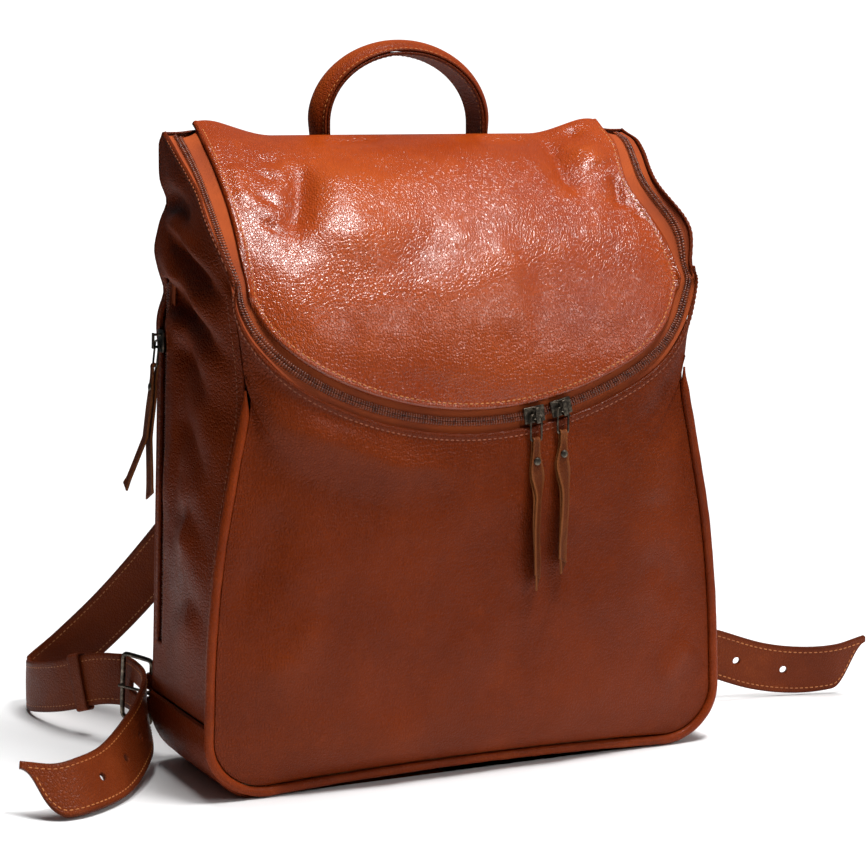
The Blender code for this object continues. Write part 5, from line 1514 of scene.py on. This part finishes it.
def keeper(side, sign):
    """Leather loop round the strap, near the buckle."""
    count = 56
    path, across, outward = strap_frame(STRAP_KEYS, sign, count)
    i = int(0.93 * (count - 1))
    centre, w, n = path[i], across[i], outward[i]
    half_w, half_t, corner = STRAP_W / 2 + 0.0013, STRAP_T / 2 + 0.0013, 0.0012
    loop = []
    for wide_sign, out_sign, start in ((1, 1, 0), (-1, 1, 90), (-1, -1, 180), (1, -1, 270)):
        cx, cy = wide_sign * (half_w - corner), out_sign * (half_t - corner)
        for angle in np.radians(start + np.linspace(0, 90, 6)):
            loop.append(centre + w * (cx + corner * math.cos(angle)) + n * (cy + corner * math.sin(angle)))
    loop = np.array(loop)
    _, wide, out = frames(loop, np.tile(np.cross(w, n), (len(loop), 1)), closed=True)
    profile, wear = strip_profile(0.0100, 0.0016, 0.0006)
    made = sweep(f"keeper_{side}", loop, out, wide, profile, "strap", closed=True, edge=wear)
    attach(made, f"strap_{side}", [f"strap_keeper_{side}"])


def patch():
    """Reinforcing patch on the back panel, where both straps are sewn."""
    x, z = clustered(40, -0.056, 0.056)[None, :], clustered(18, 0.280, 0.312)[:, None]
    points = np.stack(np.broadcast_arrays(x, back_y(x, z) + 0.0026, z), axis=-1)
    made = panel("patch", points, "body", (), "tblr", flip=True, rumple=0.15, roll=0.0009,
                 seed=111, seam_at=0.0034)
    attach(made, "bag", ["strap_patch"])
    wide, low, high = 0.0526, 0.2834, 0.3086
    loop = [(x, high) for x in np.linspace(-wide, wide, 60)]
    loop += [(wide, z) for z in np.linspace(high, low, 14)[1:]]
    loop += [(x, low) for x in np.linspace(wide, -wide, 60)[1:]]
    loop += [(-wide, z) for z in np.linspace(low, high, 14)[1:]]
    path = np.array([(x, float(back_y(x, z)) + 0.0026, z) for x, z in loop])
    points, normals = laid_on(SURFACES["patch"], path, np.array([0.0, 1.0, 0.0]))
    stitches("patch_stitches", [(points, normals)], "brown_thread", "bag", 0.9)


for side, sign in SIDES:
    shoulder_strap(side, sign)
    strap_tail(side, sign)
    buckle_tab(side, sign)
    keeper(side, sign)
patch()


# ---------------------------------------------------------------- inside of the bag

def lining_rim(x, y):
    if y > 0.030:
        return 0.3600
    if y > -0.036:
        return 0.296 + 0.064 * float(smooth(((y + 0.0474) / 0.0948 - 0.10) / 0.80))
    arc = ARC_Z - math.sqrt((BODY_R + 0.0110) ** 2 - min(abs(x), 0.115) ** 2)
    return lerp(arc, 0.262, float(smooth((abs(x) - 0.100) / 0.030)))


def lining():
    """Cotton lining: a bag inside the bag, loose enough to crease."""
    low_y, high_y, radius, rows = -0.0445, 0.0400, 0.010, 60
    outline = []
    for cx, cy, start in ((1, 1, 0), (-1, 1, 90), (-1, -1, 180), (1, -1, 270)):
        for k in range(7):
            angle = math.radians(start + 15 * k)
            outline.append((cx * (1 - 0.07) + 0.07 * math.cos(angle),
                            (high_y if cy > 0 else low_y) - cy * radius + radius * math.sin(angle)))
    outline = np.array(outline + outline[:1])
    stretch = (0.14, 1.0)
    outline = resample(outline * stretch, np.linspace(0, lengths(outline * stretch)[-1], 181))[:-1] / stretch
    points = []
    for v in np.linspace(0, 1, rows):
        for x_share, y in outline:
            z = lerp(0.0060, lining_rim(x_share * 0.135, y), v)
            depth = (y - FRONT_Y) / (BACK_Y - FRONT_Y)
            narrow = lerp(float(front_half(z)), float(rear_half(z)), depth) - 0.0075
            narrow -= 0.0035 * float(smooth((z - 0.12) / 0.08))
            points.append((x_share * narrow, y, z))
    points = np.array(points)
    inward = unit(points * (-1, -1, 0) + (0, -0.002, 0))
    soft = smooth((points[:, 2] - 0.012) / 0.03)[:, None]
    points = points + inward * soft * np.abs(noise(points, 0.04, 121) * 0.0016
                                             + noise(points, 0.015, 122) * 0.0006)[:, None]
    count = len(outline)
    faces = tube_faces(rows, count, caps=False) + [tuple(range(count))[::-1]]
    made = mesh_piece("lining", points, faces, "lining")
    attach(thicken(made, CLOTH, 0.0), "bag", ["lining_bag"])


def pocket():
    """Slip pocket on the lining's rear wall, with soft creases."""
    x, z = clustered(50, -0.090, 0.090)[None, :], clustered(40, 0.070, 0.200)[:, None]
    points = np.stack(np.broadcast_arrays(x, 0.0382 + 0 * x * z, z), axis=-1).copy()
    droop = smooth((points[..., 2] - 0.09) / 0.10) * np.cos(points[..., 0] / 0.09 * math.pi / 2)
    points[..., 1] -= 0.0022 * droop + np.abs(noise(points, 0.022, 131)) * 0.0006
    made = mesh_piece("pocket", points, grid_faces(*points.shape[:2]), "lining")
    attach(thicken(made, CLOTH), "bag", ["inner_pocket"])


def foam():
    """Padding behind the back panel, with soft edges."""
    half = float(rear_half(0.20)) - 0.016
    x, z = clustered(36, -half, half)[None, :], clustered(50, 0.045, 0.345)[:, None]
    grid = np.stack(np.broadcast_arrays(x, 0.0470 + 0 * x * z, z), axis=-1).copy()
    away = np.minimum(np.minimum(grid[..., 0] + half, half - grid[..., 0]),
                      np.minimum(grid[..., 2] - 0.045, 0.345 - grid[..., 2]))
    thick = 0.0058 * np.sqrt(np.clip(1 - (1 - np.clip(away / 0.004, 0, 1)) ** 2, 0.04, 1))
    front, rear = grid.copy(), grid.copy()
    rear[..., 1] = 0.0440 + thick / 2
    front[..., 1] = 0.0440 - thick / 2
    rows, columns = grid.shape[:2]
    count = rows * columns
    faces = grid_faces(rows, columns)
    faces += [tuple(k + count for k in face[::-1]) for face in faces]
    rim = ([k for k in range(columns)] + [r * columns + columns - 1 for r in range(1, rows)]
           + [(rows - 1) * columns + k for k in range(columns - 2, -1, -1)]
           + [r * columns for r in range(rows - 2, 0, -1)])
    faces += [(rim[k], rim[k] + count, rim[(k + 1) % len(rim)] + count, rim[(k + 1) % len(rim)])
              for k in range(len(rim))]
    points = np.vstack([rear.reshape(-1, 3), front.reshape(-1, 3)])
    made = face_outward(mesh_piece("foam", points, faces, "foam"))
    attach(made, "bag", ["back_foam"])


def lid_inside():
    """Lining of the lid: the leather's own surface, a little inside it."""
    u, v = np.linspace(-0.93, 0.93, 90)[None, :], np.linspace(0.05, 0.94, 90)[:, None]
    points = lid_point(u, v)
    normal = -unit(np.cross(np.gradient(points, axis=1), np.gradient(points, axis=0)))
    flat = points.reshape(-1, 3)
    inner = []
    for point, out in zip(flat, normal.reshape(-1, 3)):
        found = SURFACES["lid"].find_nearest(Vector(point))[0]
        sunk = min(float(np.dot(np.array(found) - point, out)), 0.0)
        inner.append(point + out * (sunk - LEATHER - 0.0014))
    inner = np.array(inner)
    inner = inner + normal.reshape(-1, 3) * -np.abs(noise(inner, 0.02, 141) * 0.0006)[:, None]
    made = mesh_piece("lid_cloth", inner, grid_faces(90, 90, True), "lining")
    attach(thicken(made, CLOTH), "lid", ["lid_lining"])


def rear_seam():
    """Leather strip inside the rear seam."""
    section = np.array(((0.0470, 0.3600), (0.0476, 0.3640), (0.0472, 0.3662), (0.0460, 0.3673),
                        (0.0438, 0.3675)))
    section = resample(section, np.linspace(0, lengths(section)[-1], 14))
    reach = 0.118
    points = np.array([[(x, y, z) for x in np.linspace(-reach, reach, 40)] for y, z in section])
    made = mesh_piece("rear_seam_strip", points, grid_faces(*points.shape[:2]), "trim")
    attach(thicken(made, 0.0008, 0.0), "bag", to="lid",
           start=(0.0, 0.0478, 0.3635), end=(0.0, 0.0445, 0.3675))


lining()
pocket()
foam()
lid_inside()
rear_seam()


# ---------------------------------------------------------------- floor

FLOOR_HALF, FADE_START, FADE_END = 4, 0.35, 1.15


def pale_floor():
    """White paper that fades into the white room behind it."""
    mesh = bpy.data.meshes.new("floor")
    corners = [(x * FLOOR_HALF, y * FLOOR_HALF, 0) for x, y in ((-1, -1), (1, -1), (1, 1), (-1, 1))]
    mesh.from_pydata(corners, [], [(0, 1, 2, 3)])
    paper = Shader("pale_paper")
    at = paper.place()
    tone = paper.mix(paper.noise(at, 3.0).outputs["Fac"], (0.91, 0.91, 0.91), (0.93, 0.93, 0.93))
    distance = paper.add("VectorMath", {0: at}, operation="LENGTH").outputs["Value"]
    seen = paper.spread(distance, FADE_START, FADE_END, 1.0, 0.0)
    mesh.materials.append(paper.finish(Base_Color=tone, Roughness=0.6, Alpha=seen))
    made = bpy.data.objects.new("floor", mesh)
    bpy.context.scene.collection.objects.link(made)


pale_floor()


# ---------------------------------------------------------------- sag of the whole upper bag

# height, reach and outward move along the right side, then how far the corners and the ears move
RIGHT_SIDE_DRAWS = ((0.342, 0.020, -0.0095), (0.292, 0.012, 0.0025))
CORNER_REACH, CORNER_IN, CORNER_BACK, CORNER_DOWN = 0.0120, 0.0040, 0.0015, 0.0065
EAR_IN, EAR_DOWN = 0.0020, 0.0036


def sag(points):
    """The right side sinks in below the lid; the corners beside the zip and the rear ears are blunted."""
    x, y, z = points.T
    half_x, y_edge, z_edge = BODY_EDGE[1], FRONT_Y, BODY_EDGE[2]
    right = smooth((x - 0.080) / 0.060)
    away = (np.abs(x) - half_x) ** 2 + (y - y_edge) ** 2 + (z - z_edge) ** 2
    corner = np.exp(-away / CORNER_REACH ** 2)
    ear = smooth((np.abs(x) - 0.118) / 0.030) * smooth((z - 0.366) / 0.012)
    moved = points.copy()
    moved[:, 0] += swells(z, RIGHT_SIDE_DRAWS) * right - (CORNER_IN * corner + EAR_IN * ear) * np.sign(x)
    moved[:, 1] += CORNER_BACK * corner
    moved[:, 2] -= CORNER_DOWN * corner + EAR_DOWN * ear
    return moved


def let_sag():
    """Move every piece made here; the CAD's metal parts stay."""
    for made in bpy.data.objects:
        if made.type == "MESH" and "skin" in made:
            spots = np.empty(3 * len(made.data.vertices))
            made.data.vertices.foreach_get("co", spots)
            made.data.vertices.foreach_set("co", sag(spots.reshape(-1, 3)).ravel())
            made.data.update()


let_sag()
